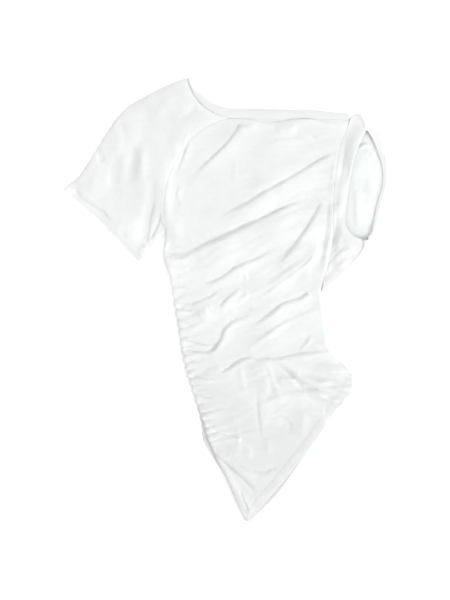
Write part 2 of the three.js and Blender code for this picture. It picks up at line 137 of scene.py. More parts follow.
def held_down(distance: np.ndarray, radius: float, rest: float) -> np.ndarray:
    """The share of its height that cloth keeps near a held edge, from the rest at the edge to 1."""
    return rest + (1.0 - rest) * roll_down(distance, radius)


class Unevenness:
    """Smooth random numbers over a plane, the same on every run."""

    def __init__(self, seed: int, lattice: int = 97) -> None:
        """Draws a square lattice of numbers from the seed."""
        self.lattice = lattice
        self.values = np.random.RandomState(seed).uniform(-1.0, 1.0, (lattice, lattice))

    def at(self, u: np.ndarray, v: np.ndarray) -> np.ndarray:
        """Reads the unevenness.

        Args:
            u: Places along the first axis, in lattice steps.
            v: Places along the second axis, in lattice steps.

        Returns:
            Numbers from -1 to 1.
        """
        u, v = np.broadcast_arrays(np.asarray(u, float), np.asarray(v, float))
        i, j = np.floor(u).astype(int), np.floor(v).astype(int)
        s, t = smooth(u - i, 0.0, 1.0), smooth(v - j, 0.0, 1.0)
        i0, i1 = i % self.lattice, (i + 1) % self.lattice
        j0, j1 = j % self.lattice, (j + 1) % self.lattice
        top = mix(self.values[i0, j0], self.values[i0, j1], t)
        low = mix(self.values[i1, j0], self.values[i1, j1], t)
        return mix(top, low, s)


# ------------------------------------------------------------------------------------------ the cut
@dataclass(frozen=True)
class Make:
    """The sizes that the whole garment shares, in millimetres."""

    jersey: float = 1.2
    rib: float = 1.6
    layer_gap: float = 0.5
    seam_inset: float = 0.16
    seam_sink: float = 0.45
    seam_reach: float = 4.5
    deepest_sink: float = 0.25
    hem_depth: float = 17.0
    hem_step: float = 0.3
    stitch_inset: float = 1.6
    stitch_sink: float = 0.2
    stitch_reach: float = 1.1
    body_loft: float = 2.2
    body_ease: float = 1.2
    sleeve_loft: float = 3.2
    sleeve_ease: float = 0.8
    contact_softness: float = 1.2
    highest_fold: float = 20.0
    neckband_width: float = 16.0

    @property
    def back_middle(self) -> float:
        """The height of the middle of the back's cloth."""
        return self.jersey / 2

    @property
    def front_middle(self) -> float:
        """The height of the middle of the front's cloth where it lies on the back."""
        return self.jersey + self.layer_gap + self.jersey / 2

    def on_back(self, x: np.ndarray, y: np.ndarray, height: np.ndarray) -> np.ndarray:
        """Points of cloth that lies on the back, at some heights above lying flat."""
        return np.stack([x, y, self.front_middle + np.maximum(height, -self.deepest_sink)], -1)


MAKE = Make()


@dataclass(frozen=True)
class BodyCut:
    """The body's outline: sections that fan out from the dropped shoulder to the far side seam."""

    first: float = 0.004
    armpit: float = 5.0
    underarm: float = 10.0
    hip: float = 12.0
    tip: float = 20.0
    gathered: tuple[float, float] = (6.9, 15.2)
    gathers: int = 19
    scallop: float = 1.8
    # left x, left y, right x, right y, and how much further out the back reaches at either end
    sections: Table = (
        (7, 328.5, 225, 324, 0, 0),
        (-39.5, 307, 218, 301.5, 0, 0),
        (-79, 267.5, 210.5, 283.5, 0, 0),
        (-102.5, 215, 205, 263.5, 0, 0),
        (-110, 166.5, 201.5, 242, 0, 0),
        (-106, 121.5, 198, 215, 0, 0),
        (-110, 80, 196, 184.5, 0, 0),
        (-97, 37, 194.5, 148.5, 0, 0),
        (-90, -6.5, 194.5, 107, 0, 0),
        (-83, -46, 187, 67.5, 0, 0),
        (-77.5, -85.5, 174.5, 17, 0, 0),
        (-70, -121.5, 180, -33.5, 0, 0),
        (-61, -152, 187, -85.5, 0, 0),
        (-48.5, -188, 207, -109, 1, -12),
        (-36, -222.5, 228.5, -134, 5, -24),
        (-29, -249.5, 227, -164.5, 9, -22),
        (-20, -271, 201.5, -195.5, 7, -6),
        (-11, -292.5, 167.5, -245.5, 3, 0),
        (3.5, -323, 128, -296, 0, 6),
        (20, -361, 81, -353.5, 0, 11),
        (36, -395, 41.5, -397, 0, 3),
    )

    def row(self, section: np.ndarray) -> np.ndarray:
        """The outline's numbers at a section, with the gathers pushing the left edge out.

        Args:
            section: Section numbers.

        Returns:
            The table's six columns on the last axis.
        """
        row = along_rows(self.sections, section)
        share = (np.asarray(section, float) - self.gathered[0]) / (self.gathered[1] - self.gathered[0])
        fade = window(share, 0.0, 0.05, 0.95, 1.0)
        row[..., 0] -= self.scallop * fade * (0.5 - 0.5 * np.cos(2.0 * math.pi * self.gathers * share))
        return row

    def point(self, section: np.ndarray, across: np.ndarray) -> np.ndarray:
        """A point of the body seen from above, from 0 across at the left end to 1 at the right end."""
        row = self.row(section)
        return mix(row[..., 0:2], row[..., 2:4], np.asarray(across, float)[..., None])

    def width(self, section: np.ndarray) -> np.ndarray:
        """How long each section is, in millimetres."""
        row = self.row(section)
        return np.hypot(row[..., 2] - row[..., 0], row[..., 3] - row[..., 1])


BODY = BodyCut()


# ------------------------------------------------------------------------------------------ folds
PATH_STEPS = 26
WAVER = Unevenness(41)
WAVER_LENGTH = 16.0
WAVER_STEP = 0.37
WAVER_SHARE = 0.3
OUT_OF_REACH = 99.0


class Fold:
    """What both kinds of fold share: a line of points, and how they fade in and out along it."""

    path: Path
    ends: tuple[float, float]

    def reach(self) -> float:
        """How far from its line the fold still counts, in millimetres."""
        raise NotImplementedError

    def height(self, side: np.ndarray, strength: np.ndarray) -> np.ndarray:
        """The fold's height at distances from its line, which are above 0 below the line."""
        raise NotImplementedError

    def strength(self, along: np.ndarray) -> np.ndarray:
        """How strong the fold is along its line: it fades in and out, and wavers a little in between.

        Args:
            along: Shares of the line, from 0 to 1.

        Returns:
            Shares of the fold's full height.
        """
        first, last = self.path[0], self.path[-1]
        length = math.hypot(last[0] - first[0], last[1] - first[1])
        waver = WAVER.at(along * length / WAVER_LENGTH + first[0], np.full_like(along, WAVER_STEP * first[1]))
        return window(along, 0.0, self.ends[0], 1.0 - self.ends[1], 1.0) * (1.0 + WAVER_SHARE * waver)

    def lift(self, x: np.ndarray, y: np.ndarray) -> np.ndarray:
        """How far the fold lifts the cloth.

        Args:
            x: Places on the garment.
            y: Places on the garment.

        Returns:
            Heights in millimetres, below 0 where the cloth dips.
        """
        lifted = np.zeros_like(x)
        near, side, along = from_line(self.path, x, y, self.reach())
        if near.any():
            lifted[near] = self.height(side, self.strength(along))
        return lifted


@dataclass(frozen=True)
class Crease(Fold):
    """One line that the cloth bends along, from the dropped side to the gathered side.

    The cloth above it dips towards it, and below it climbs over a roll and runs out.
    """

    path: Path
    dip: float
    roll: float
    above: float = 12.0
    lip: float = 4.0
    below: float = 20.0
    ends: tuple[float, float] = (0.25, 0.3)

    def reach(self) -> float:
        """How far from its line the crease still counts, in millimetres."""
        return 3.0 * max(self.above, self.below)

    def height(self, side: np.ndarray, strength: np.ndarray) -> np.ndarray:
        """The crease's height beside its line.

        Args:
            side: Distances from the line, above 0 below it.
            strength: How strong the crease is there.

        Returns:
            Heights in millimetres, below 0 in the crease itself.
        """
        over = np.maximum(-side, 0.0)
        under = np.maximum(side, 0.0)
        dipped = -self.dip * np.exp(-over / self.above * 1.6)
        climbed = self.roll * (1.0 - np.exp(-under / self.lip)) * bell(under, self.below)
        sunk = -self.dip * np.exp(-under / (0.6 * self.lip))
        return strength * np.where(side < 0.0, dipped, climbed + sunk)


@dataclass(frozen=True)
class Roll(Fold):
    """One soft roll of cloth along a line, with a width on either side of it."""

    path: Path
    rise: float
    above: float = 10.0
    below: float = 10.0
    ends: tuple[float, float] = (0.35, 0.35)

    def reach(self) -> float:
        """How far from its line the roll still counts, in millimetres."""
        return 2.6 * max(self.above, self.below)

    def height(self, side: np.ndarray, strength: np.ndarray) -> np.ndarray:
        """The roll's height at distances from its line, with a width of its own on either side."""
        return strength * self.rise * bell(side, np.where(side < 0.0, self.above, self.below))


def from_line(
    path: Path | np.ndarray, x: np.ndarray, y: np.ndarray, reach: float
) -> tuple[np.ndarray, np.ndarray, np.ndarray]:
    """Measures places from a curve through a few points.

    Args:
        path: The curve's points, from the dropped side to the gathered side.
        x: Places on the garment.
        y: Places on the garment.
        reach: How far from the curve a place still counts.

    Returns:
        Which places count, and for those the distance, above 0 below the curve, and the share along it.
    """
    line = along_rows(path, np.linspace(0, len(path) - 1, PATH_STEPS + 1))
    low, high = line.min(0) - reach, line.max(0) + reach
    near = (x > low[0]) & (x < high[0]) & (y > low[1]) & (y < high[1])
    px, py = x[near][:, None], y[near][:, None]
    start, step = line[:-1], np.diff(line, axis=0)
    t = ((px - start[:, 0]) * step[:, 0] + (py - start[:, 1]) * step[:, 1]) / (step**2).sum(1)
    t = np.clip(t, 0.0, 1.0)
    dx, dy = px - start[:, 0] - t * step[:, 0], py - start[:, 1] - t * step[:, 1]
    distance = np.hypot(dx, dy)
    best = distance.argmin(1)
    pick = np.arange(len(best))
    turned = step[best, 0] * dy[pick, best] - step[best, 1] * dx[pick, best]
    side = np.where(turned > 0, 1.0, -1.0) * distance[pick, best]
    along = (best + t[pick, best]) / PATH_STEPS
    return near, side, along


def from_edge(edge: np.ndarray, x: np.ndarray, y: np.ndarray, reach: float) -> np.ndarray:
    """How far places lie in from a hem's edge.

    Args:
        edge: Points of the edge.
        x: Places on the garment.
        y: Places on the garment.
        reach: How far in the distance is measured.

    Returns:
        Distances in millimetres, large where the edge is out of reach.
    """
    distance = np.full(x.shape, OUT_OF_REACH)
    near, side, _ = from_line(edge, x, y, reach)
    distance[near] = np.abs(side)
    return distance


# Lines that the body's cloth bends along, from the strongest at the dropped shoulder down to the point.
CREASES = (
    # across the chest
    Crease(((196, 266), (167, 251), (135, 231), (103, 212), (70, 194), (38, 174), (5, 158), (-23, 141)),
           2.6, 3.6, 17, 2.2, 22, (0.12, 0.35)),
    Crease(((146, 179), (117, 172), (77, 152), (45, 137), (13, 122), (-20, 107), (-49, 94), (-70, 84),
            (-95, 82), (-110, 89)),
           3.8, 5.0, 20, 2.4, 24, (0.16, 0.04)),
    Crease(((67, 147), (38, 134), (13, 122), (-13, 110), (-38, 100)), 7.0, 3.0, 8, 2.6, 8, (0.35, 0.35)),
    Crease(((-59, 85), (-81, 76), (-108, 78)), 2.4, 1.8, 4, 1.6, 6, (0.4, 0.05)),
    Crease(((175, 183), (164, 159), (148, 132), (128, 104), (106, 76), (88, 57)),
           1.6, 3.0, 16, 2.4, 18, (0.2, 0.4)),
    Crease(((164, 89), (146, 68), (121, 50), (95, 33)), 1.2, 2.0, 9, 1.8, 9, (0.25, 0.4)),
    # from the waist down to the gathers
    Crease(((92, 98), (63, 78), (38, 68), (16, 57), (-5, 42), (-27, 32), (-52, 28)),
           2.6, 3.2, 16, 1.8, 11, (0.3, 0.25)),
    Crease(((135, 57), (106, 37), (77, 17), (52, 4)), 0.9, 1.6, 9, 1.8, 8, (0.3, 0.4)),
    Crease(((25, 22), (4, 3), (-11, -12)), 1.9, 1.6, 12, 1.6, 7, (0.3, 0.35)),
    Crease(((-13, 15), (-31, 4), (-63, -8)), 1.9, 1.8, 10, 1.6, 9, (0.3, 0.2)),
    Crease(((49, -24), (34, -30), (18, -35), (0, -51), (-7, -69), (-23, -90), (-49, -93), (-76, -89)),
           3.6, 3.4, 14, 1.9, 11, (0.25, 0.06)),
    Crease(((151, 15), (135, 4), (106, -5), (85, -22), (63, -37), (38, -51)),
           2.8, 3.4, 15, 1.9, 12, (0.08, 0.35)),
    Crease(((164, -12), (135, -26), (106, -39), (77, -58), (45, -82)), 1.3, 2.0, 11, 1.8, 9, (0.2, 0.35)),
    Crease(((155, -62), (131, -91)), 9.0, 5.0, 6, 2, 7, (0.3, 0.3)),
    Crease(((164, -91), (146, -91), (128, -94)), 2.0, 1.2, 8, 2, 6, (0.3, 0.4)),
    # the gathers that run far in
    Crease(((-63, 24), (-76, 23), (-94, 26)), 1.8, 1.4, 4, 1.6, 5, (0.5, 0.02)),
    Crease(((-59, -6), (-74, -5), (-92, -3)), 1.6, 1.2, 4, 1.6, 5, (0.5, 0.02)),
    Crease(((-56, -21), (-68, -18), (-88, -15)), 2.8, 2.0, 5, 1.7, 6, (0.4, 0.02)),
    Crease(((-45, -39), (-59, -46), (-70, -39), (-85, -35)), 1.7, 1.4, 4, 1.5, 5, (0.4, 0.02)),
    Crease(((-18, -78), (-34, -80), (-49, -77), (-79, -69)), 2.6, 2.0, 6, 1.7, 6, (0.35, 0.02)),
    Crease(((-38, -111), (-54, -111), (-74, -107)), 1.3, 1.4, 5, 1.8, 5, (0.5, 0.02)),
    Crease(((-14, -140), (-34, -141), (-49, -138), (-68, -129)), 2.6, 2.0, 6, 1.7, 7, (0.35, 0.02)),
    Crease(((-31, -159), (-45, -161), (-61, -154)), 1.5, 1.4, 4, 1.7, 5, (0.5, 0.02)),
    Crease(((-16, -172), (-34, -175), (-56, -166)), 2.2, 1.8, 5, 1.8, 6, (0.4, 0.02)),
    Crease(((-23, -190), (-38, -194), (-50, -188)), 1.6, 1.4, 4, 1.8, 5, (0.4, 0.02)),
    Crease(((-31, -212), (-41, -204), (-47, -194)), 2.6, 1.0, 4, 2, 4, (0.4, 0.02)),
    # the fold over the hip, and the ruffle that it runs out into
    Crease(((203, -86), (171, -92), (146, -94), (121, -98), (92, -104), (67, -105), (41, -104)),
           2.2, 4.8, 18, 2.4, 17, (0.35, 0.2)),
    Crease(((52, -99), (34, -105), (20, -112), (7, -122), (-9, -130)), 3.4, 2.8, 9, 1.9, 10, (0.25, 0.25)),
    Crease(((250, -177), (207, -170), (189, -166), (160, -160), (142, -155),
            (128, -144), (112, -129), (92, -114)),
           6.0, 1.5, 4, 4.6, 8, (0.05, 0.3)),
    Crease(((247, -154), (212, -146), (198, -142), (185, -139), (162, -132)),
           5.0, 1.5, 4, 4.2, 7, (0.15, 0.3)),
    Crease(((229, -215), (203, -202), (184, -192), (160, -179), (135, -172)),
           6.0, 1.5, 4, 5, 7, (0.05, 0.3)),
    Crease(((202, -194), (193, -197), (178, -192)), 9.0, 0.0, 9, 12, 4, (0.2, 0.3)),
    # the lower front
    Crease(((61, -152), (59, -184), (61, -213), (65, -246)), 1.8, 0.6, 9, 5, 8, (0.35, 0.3)),
    Crease(((124, -237), (119, -217), (97, -204), (67, -206)), 0.0, -2.0, 4, 2.6, 12, (0.2, 0.2)),
    Crease(((41, -249), (7, -243), (-16, -235), (-40, -212)), 2.4, 2.8, 8, 2.2, 6, (0.35, 0.1)),
    Crease(((106, -314), (88, -302), (67, -309), (40, -302), (20, -294), (0, -284)),
           3.2, 1.8, 10, 5, 12, (0.2, 0.3)),
    Crease(((-20, -274), (5, -296), (34, -321), (61, -346)), 4.0, 2.2, 8, 4, 8, (0.15, 0.2)),
    Crease(((27, -343), (45, -382)), 3.2, 2.0, 6, 3.4, 6, (0.25, 0.3)),
    # under the neckband and along the raglan seam
    Crease(((207, 316), (175, 323), (140, 329), (95, 321), (59, 323), (32, 328), (2, 328)),
           2.0, 2.6, 5, 2.2, 9, (0.2, 0.1)),
    Crease(((29, 320), (16, 298), (-7, 271), (-38, 244), (-65, 215)), 1.7, 2.6, 10, 1.8, 13, (0.1, 0.35)),
    Crease(((-63, 298), (-70, 273), (-79, 248), (-88, 222)), 1.2, 2.0, 7, 2.2, 8, (0.25, 0.35)),
    Crease(((-79, 212), (-88, 190), (-79, 170)), 1.3, 1.2, 7, 3.2, 8, (0.35, 0.35)),
    Crease(((167, 289), (151, 300), (133, 309)), 1.8, 1.8, 6, 2.2, 9, (0.3, 0.35)),
    Crease(((142, 292), (106, 291), (67, 284)), 1.3, 1.6, 10, 3.4, 12, (0.3, 0.35)),
    # down the dropped shoulder
    Crease(((207, 276), (202, 237), (194, 201)), 1.2, 1.6, 10, 5, 9, (0.25, 0.35)),
    Crease(((187, 186), (182, 122), (171, 57)), 1.2, 1.8, 10, 4.5, 9, (0.25, 0.3)),
)

# Soft rolls of the body's cloth.
ROLLS = (
    Roll(((185, 262), (99, 222), (5, 186)), 2.4, 24, 18),
    Roll(((176, 226), (92, 183), (-20, 134)), 3.0, 12, 16),
    Roll(((124, 134), (40, 96), (-63, 58)), 3.0, 22, 18),
    Roll(((128, 66), (59, 24), (-23, -12)), 2.4, 18, 16),
    Roll(((185, 107), (149, 75), (99, 33)), 2.6, 8, 10),
    Roll(((32, 24), (14, 4), (-5, -15)), 2.6, 22, 6),
    Roll(((45, 15), (23, -6)), 1.8, 5, 5),
    Roll(((-23, -4), (-38, -30)), 2.4, 7, 9),
    Roll(((52, -14), (16, -21)), -2.2, 8, 4),
    Roll(((49, 68), (31, 50), (20, 28)), 1.4, 14, 4),
    Roll(((34, 53), (41, 35)), 1.6, 3, 3),
    Roll(((133, 64), (110, 44), (77, 17)), 1.8, 9, 6),
    Roll(((166, -8), (115, -33), (67, -69)), 2.2, 13, 8),
    Roll(((99, -55), (70, -68), (38, -91)), 1.8, 6, 5),
    Roll(((189, 118), (182, 82), (175, 42)), 2.0, 8, 4),
    Roll(((171, 129), (157, 78), (144, 35)), 1.8, 10, 5),
    Roll(((-29, -14), (-49, -26)), 2.6, 10, 10),
    # the ruffle
    Roll(((275, -158), (223, -136), (191, -129), (157, -123)), 7.0, 12, 4.5, (0.1, 0.4)),
    Roll(((265, -181), (212, -159), (187, -149), (162, -148), (142, -141), (124, -129), (106, -114),
          (92, -105)), 8.0, 6, 5, (0.1, 0.4)),
    Roll(((254, -202), (209, -183), (187, -177), (164, -167), (139, -161)), 8.0, 5, 4.5, (0.1, 0.4)),
    Roll(((218, -184), (211, -197), (198, -217), (187, -233)), 13.0, 5, 14, (0.25, 0.35)),
    Roll(((189, -215), (164, -201), (139, -194)), 3.5, 6, 12, (0.2, 0.4)),
    Roll(((135, -143), (112, -143), (92, -140)), 3.2, 5, 9),
    # the lower front
    Roll(((74, -105), (85, -138), (95, -163), (103, -186)), 2.0, 5, 4),
    Roll(((59, -109), (76, -145), (67, -179)), 2.0, 18, 5),
    Roll(((27, -116), (32, -141), (36, -166)), 1.6, 7, 4),
    Roll(((113, -166), (99, -177), (67, -184)), 1.6, 7, 6),
    Roll(((117, -224), (92, -224), (68, -224)), -1.8, 9, 7),
    Roll(((135, -177), (142, -217), (131, -253)), 1.6, 12, 7),
    Roll(((25, -224), (25, -269)), 0.9, 5, 4),
    Roll(((76, -246), (81, -278)), 1.2, 7, 6),
    Roll(((49, -267), (38, -282)), 1.3, 8, 6),
    Roll(((31, -249), (5, -250), (-20, -243)), 1.8, 3, 4, (0.15, 0.15)),
    Roll(((110, -318), (92, -336), (70, -350)), 1.8, 12, 6),
    Roll(((47, -384), (14, -330), (-14, -276)), 3.0, 6, 6, (0.1, 0.1)),
    # the shoulders and the far side
    Roll(((131, 309), (90, 309)), 2.2, 8, 9),
    Roll(((59, 314), (25, 306)), 1.8, 7, 8),
    Roll(((-83, 204), (-86, 179)), 1.4, 9, 8),
    Roll(((-67, 302), (-74, 273)), 1.6, 4, 5),
    Roll(((-67, 300), (-85, 266), (-99, 233), (-104, 194), (-103, 132)), 3.0, 16, 8, (0.15, 0.1)),
    Roll(((20, 262), (18, 208)), 0.7, 4.5, 4.5),
    Roll(((203, 269), (196, 215), (194, 179)), 2.0, 5, 6),
    Roll(((194, 186), (191, 122), (178, 44)), 2.2, 4, 4),
    Roll(((-94, 150), (-88, 118), (-92, 98)), 3.0, 9, 12),
)


@dataclass(frozen=True)
class Relief:
    """How far the folds lift the upper cloth of the body at each place."""

    # soft swells, which run at a slant over the chest and nearly upright down the lower front
    chest_turn: tuple[float, float] = (0.86, 0.5)
    lower_turn: tuple[float, float] = (0.94, 0.34)
    turns_between: tuple[float, float] = (-190.0, -90.0)
    swell_rise: float = 3.0
    swell_length: float = 62.0
    swell_widths: tuple[float, float] = (38.0, 27.0)
    swell_grain: float = 0.8
    ripple_rise: float = 0.5
    ripple_grain: float = 2.1
    # streaks that fan out with the sections, and wander a little from them
    wander: float = 0.35
    wander_grain: tuple[float, float] = (0.6, 5.0)
    streak_rise: float = 1.0
    streak_sections: float = 2.6
    streaks_across: float = 2.6
    streak_sharpness: float = 0.8
    finer_share: float = 0.45
    finer_sections: float = 2.3
    finer_across: float = 4.2
    calm_share: float = 0.35
    # gathers along the side seam, no two alike
    gather_rise: float = 4.4
    gather_rise_spread: float = 0.45
    gather_reach: float = 23.0
    gather_reach_spread: float = 0.6
    gather_wander: float = 0.3
    gather_sharpness: float = 0.62
    gather_middle: float = 0.35
    gather_falloff: float = 1.6
    pressed_rise: float = 0.33
    streaks: Unevenness = field(default_factory=lambda: Unevenness(5))
    drift: Unevenness = field(default_factory=lambda: Unevenness(11))
    cloud: Unevenness = field(default_factory=lambda: Unevenness(23))

    def folds(self, x: np.ndarray, y: np.ndarray) -> np.ndarray:
        """The folds that are placed one by one, over soft swells that run the same way as they do.

        Args:
            x: Places on the garment.
            y: Places on the garment.

        Returns:
            Heights in millimetres, without a lower limit.
        """
        a, b = self.chest_turn
        slanted, across = a * x + b * y, a * y - b * x
        a, b = self.lower_turn
        upright, sideways = a * y - b * x, a * x + b * y
        leaning = smooth(y, *self.turns_between)
        u = mix(upright, slanted, leaning) / self.swell_length
        v = mix(sideways, across, leaning) / mix(*self.swell_widths, leaning)
        lifted = self.swell_rise * self.cloud.at(self.swell_grain * u, self.swell_grain * v)
        lifted = lifted + self.ripple_rise * self.cloud.at(self.ripple_grain * u + 9.0, self.ripple_grain * v)
        for fold in (*CREASES, *ROLLS):
            lifted = lifted + fold.lift(x, y)
        return lifted

    def fan(self, section: np.ndarray, across: np.ndarray) -> np.ndarray:
        """The many small folds that fan out between the large ones.

        Args:
            section: Section numbers.
            across: 0 at the left end to 1 at the right end.

        Returns:
            Heights in millimetres.
        """
        along, sideways = self.wander_grain
        wavy = section + self.wander * self.drift.at(section * along, across * sideways)
        fine = self.streaks.at(wavy * self.streak_sections, across * self.streaks_across)
        elsewhere = wavy * self.finer_sections * self.streak_sections + 31.0
        finer = self.streaks.at(elsewhere, across * self.finer_across)
        body = smooth(section, 3.0, 6.0) * (1.0 - 0.65 * smooth(section, 12.5, 14.5))
        at_ruffle = smooth(section, 11.3, 12.6) * smooth(across, 0.45, 0.75)
        strength = self.streak_rise * mix(self.calm_share, 1.0, body) * (1.0 - at_ruffle)
        return strength * (np.abs(fine) ** self.streak_sharpness * np.sign(fine) + self.finer_share * finer)

    def gathers(self, section: np.ndarray, inside: np.ndarray) -> np.ndarray:
        """The gathers along the left side seam, each with a reach and a rise of its own.

        Args:
            section: Section numbers.
            inside: How far in from the seam, in millimetres.

        Returns:
            Heights in millimetres.
        """
        start, stop = BODY.gathered
        share = (section - start) / (stop - start)
        phase = BODY.gathers * share + self.gather_wander * self.drift.at(section * 0.9, inside / 26.0)
        number = np.floor(phase)
        hump = np.abs(np.sin(math.pi * phase)) ** self.gather_sharpness - self.gather_middle
        reach = self.gather_reach * (1.0 + self.gather_reach_spread * self.drift.at(number * 1.7, 3.3))
        rise = self.gather_rise * (1.0 + self.gather_rise_spread * self.drift.at(number * 2.3 + 40.0, 7.7))
        fade = window(share, -0.06, 0.03, 0.97, 1.06)
        return fade * rise * hump * np.exp(-((inside / reach) ** self.gather_falloff))

    def body(self, section: np.ndarray, across: np.ndarray, x: np.ndarray, y: np.ndarray) -> np.ndarray:
        """All the folds of the body together, never below the flat cloth.

        Args:
            section: Section numbers.
            across: 0 at the left end to 1 at the right end.
            x: Places on the garment.
            y: Places on the garment.

        Returns:
            Heights in millimetres above the cloth where it lies flat.
        """
        inside = across * BODY.width(section)
        height = MAKE.body_loft + self.folds(x, y) + self.fan(section, across) + self.gathers(section, inside)
        return self.settled(height + MAKE.body_ease)

    def settled(self, height: np.ndarray) -> np.ndarray:
        """Rests the cloth softly on what lies below it, and keeps it under the highest fold."""
        soft = 0.5 * (height + np.sqrt(height**2 + MAKE.contact_softness))
        return MAKE.highest_fold * np.tanh(soft / MAKE.highest_fold)

    def pressed(self, x: np.ndarray, y: np.ndarray) -> np.ndarray:
        """The faint creases that the folds press into the cloth under them, in millimetres."""
        return self.pressed_rise * smooth(self.folds(x, y), 2.0, 9.0)


RELIEF = Relief()


# ------------------------------------------------------------------------------------------ cloth as a wall
@dataclass
class ClothWall:
    """A closed wall of cloth round a grid of points on the middle of the cloth.

    The grid's points are in millimetres, rows by columns by 3. On a tube the last column meets the first.
    """

    grid: np.ndarray
    thickness: float
    is_tube: bool = False
    rim_bulge: float = 0.42

    def normals(self) -> np.ndarray:
        """The cloth's upward normals.

        Returns:
            Unit vectors, one for each point of the grid.
        """
        if self.is_tube:
            over = np.roll(self.grid, -1, 1) - np.roll(self.grid, 1, 1)
        else:
            over = np.gradient(self.grid, axis=1)
        return unit(np.cross(over, np.gradient(self.grid, axis=0)))

    def grain(self) -> np.ndarray:
        """The grid's places on the flat cloth.

        Returns:
            Two distances in metres for each point: across the wales, and down them.
        """
        wide = np.linalg.norm(np.diff(self.grid, axis=1), axis=2)
        deep = np.linalg.norm(np.diff(self.grid, axis=0), axis=2)
        u = np.concatenate([np.zeros((len(self.grid), 1)), np.cumsum(wide, 1)], 1)
        v = np.concatenate([np.zeros((1, self.grid.shape[1])), np.cumsum(deep, 0)], 0)
        return np.stack([u, v], 2) * MM

    def build(self, name: str) -> bpy.types.Object:
        """Makes the wall's mesh: an upper and a lower face, and a bulging rim along each open edge.

        Args:
            name: The piece's name.

        Returns:
            The new object, at the origin.
        """
        rows, columns = self.grid.shape[:2]
        layer = rows * columns
        offset = self.normals() * self.thickness / 2.0
        number = np.arange(layer).reshape(rows, columns)
        if self.is_tube:
            number = np.concatenate([number, number[:, :1]], 1)
        corners = [number[:-1, :-1], number[1:, :-1], number[1:, 1:], number[:-1, 1:]]
        upper = np.stack([c.ravel() for c in corners], 1)
        lower = upper[:, ::-1] + layer
        points = [(self.grid + offset).reshape(-1, 3), (self.grid - offset).reshape(-1, 3)]
        faces = [upper, lower]
        grain = self.grain().reshape(-1, 2)
        flat = [grain, grain]
        middle = self.grid.reshape(-1, 3)
        size = 2 * layer
        for edge, inner in self.edges(number):
            outwards = unit(middle[edge] - middle[inner])
            points.append(middle[edge] + outwards * self.thickness * self.rim_bulge)
            flat.append(grain[edge])
            rim = size + np.arange(len(edge))
            size += len(edge)
            next_edge, next_rim = np.roll(edge, -1), np.roll(rim, -1)
            faces.append(np.stack([edge, rim, next_rim, next_edge], 1))
            faces.append(np.stack([rim, edge + layer, next_edge + layer, next_rim], 1))
        soft = len(upper) + len(lower)
        return mesh_piece(name, np.concatenate(points), np.concatenate(faces), np.concatenate(flat), soft)

    def edges(self, number: np.ndarray) -> list[tuple[np.ndarray, np.ndarray]]:
        """The wall's open edges, each of which closes on itself.

        Args:
            number: The grid's point numbers, with the first column repeated on a tube.

        Returns:
            For each edge its points, and the points just inside them.
        """
        if self.is_tube:
            return [(number[0, :-1][::-1], number[1, :-1][::-1]), (number[-1, :-1], number[-2, :-1])]
        around = np.concatenate([number[0, ::-1], number[1:, 0], number[-1, 1:], number[-2:0:-1, -1]])
        inner_rows = np.clip(around // number.shape[1], 1, number.shape[0] - 2)
        inner_columns = np.clip(around % number.shape[1], 1, number.shape[1] - 2)
        return [(around, number[inner_rows, inner_columns])]


def mesh_piece(
    name: str, points: np.ndarray, faces: np.ndarray, grain: np.ndarray, soft: int | None = None
) -> bpy.types.Object:
    """Makes a mesh object whose faces point outwards.

    Args:
        name: The piece's name.
        points: Its points in millimetres, in the tables' frame.
        faces: Its faces, rows of point numbers.
        grain: Each point's place on the flat cloth, in metres.
        soft: How many of the faces, from the first, are shaded smoothly, or None for all of them.

    Returns:
        The object, linked to the scene.
    """
    placed = (points - np.array([*OUTLINE_MIDDLE, 0.0])) * MM
    corner = placed[faces]
    area = np.cross(corner[:, 1] - corner[:, 0], corner[:, 2] - corner[:, 0])
    area += np.cross(corner[:, 2] - corner[:, 0], corner[:, 3] - corner[:, 0])
    if (corner.mean(1) * area).sum() < 0.0:
        faces = faces[:, ::-1]
    mesh = bpy.data.meshes.new(name)
    mesh.from_pydata(placed.tolist(), [], faces.tolist())
    mesh.polygons.foreach_set("use_smooth", np.arange(len(faces)) < (len(faces) if soft is None else soft))
    attribute = mesh.attributes.new("grain", "FLOAT_VECTOR", "POINT")
    attribute.data.foreach_set("vector", np.concatenate([grain, np.zeros((len(grain), 1))], 1).ravel())
    mesh.update()
    piece = bpy.data.objects.new(name, mesh)
    bpy.context.scene.collection.objects.link(piece)
    return piece


def turn(first: np.ndarray, last: np.ndarray, outwards: np.ndarray, steps: int) -> np.ndarray:
    """The half round turns between an upper and a lower layer, ends left out.

    Args:
        first: The points that the turns leave, rows by 3.
        last: The points that they reach, rows by 3.
        outwards: Level unit directions away from the cloth, rows by 3.
        steps: How many points each turn has.

    Returns:
        Points, rows by steps by 3.
    """
    centre = (first + last) / 2.0
    arm = first - centre
    radius = np.linalg.norm(arm, axis=1, keepdims=True)
    away = outwards - arm * (outwards * arm).sum(1, keepdims=True) / radius**2
    away *= radius / np.linalg.norm(away, axis=1, keepdims=True)
    angle = math.pi * np.arange(1, steps + 1)[None, :, None] / (steps + 1)
    return centre[:, None] + arm[:, None] * np.cos(angle) + away[:, None] * np.sin(angle)


def level(step: np.ndarray) -> np.ndarray:
    """Unit directions of steps, seen from above.

    Args:
        step: Steps, rows by 3 or by 2.

    Returns:
        Unit vectors with no height, rows by 3.
    """
    flat = np.zeros((len(step), 3))
    flat = np.zeros((len(step), 3))
    flat[:, :2] = step[:, :2]
    return unit(flat)


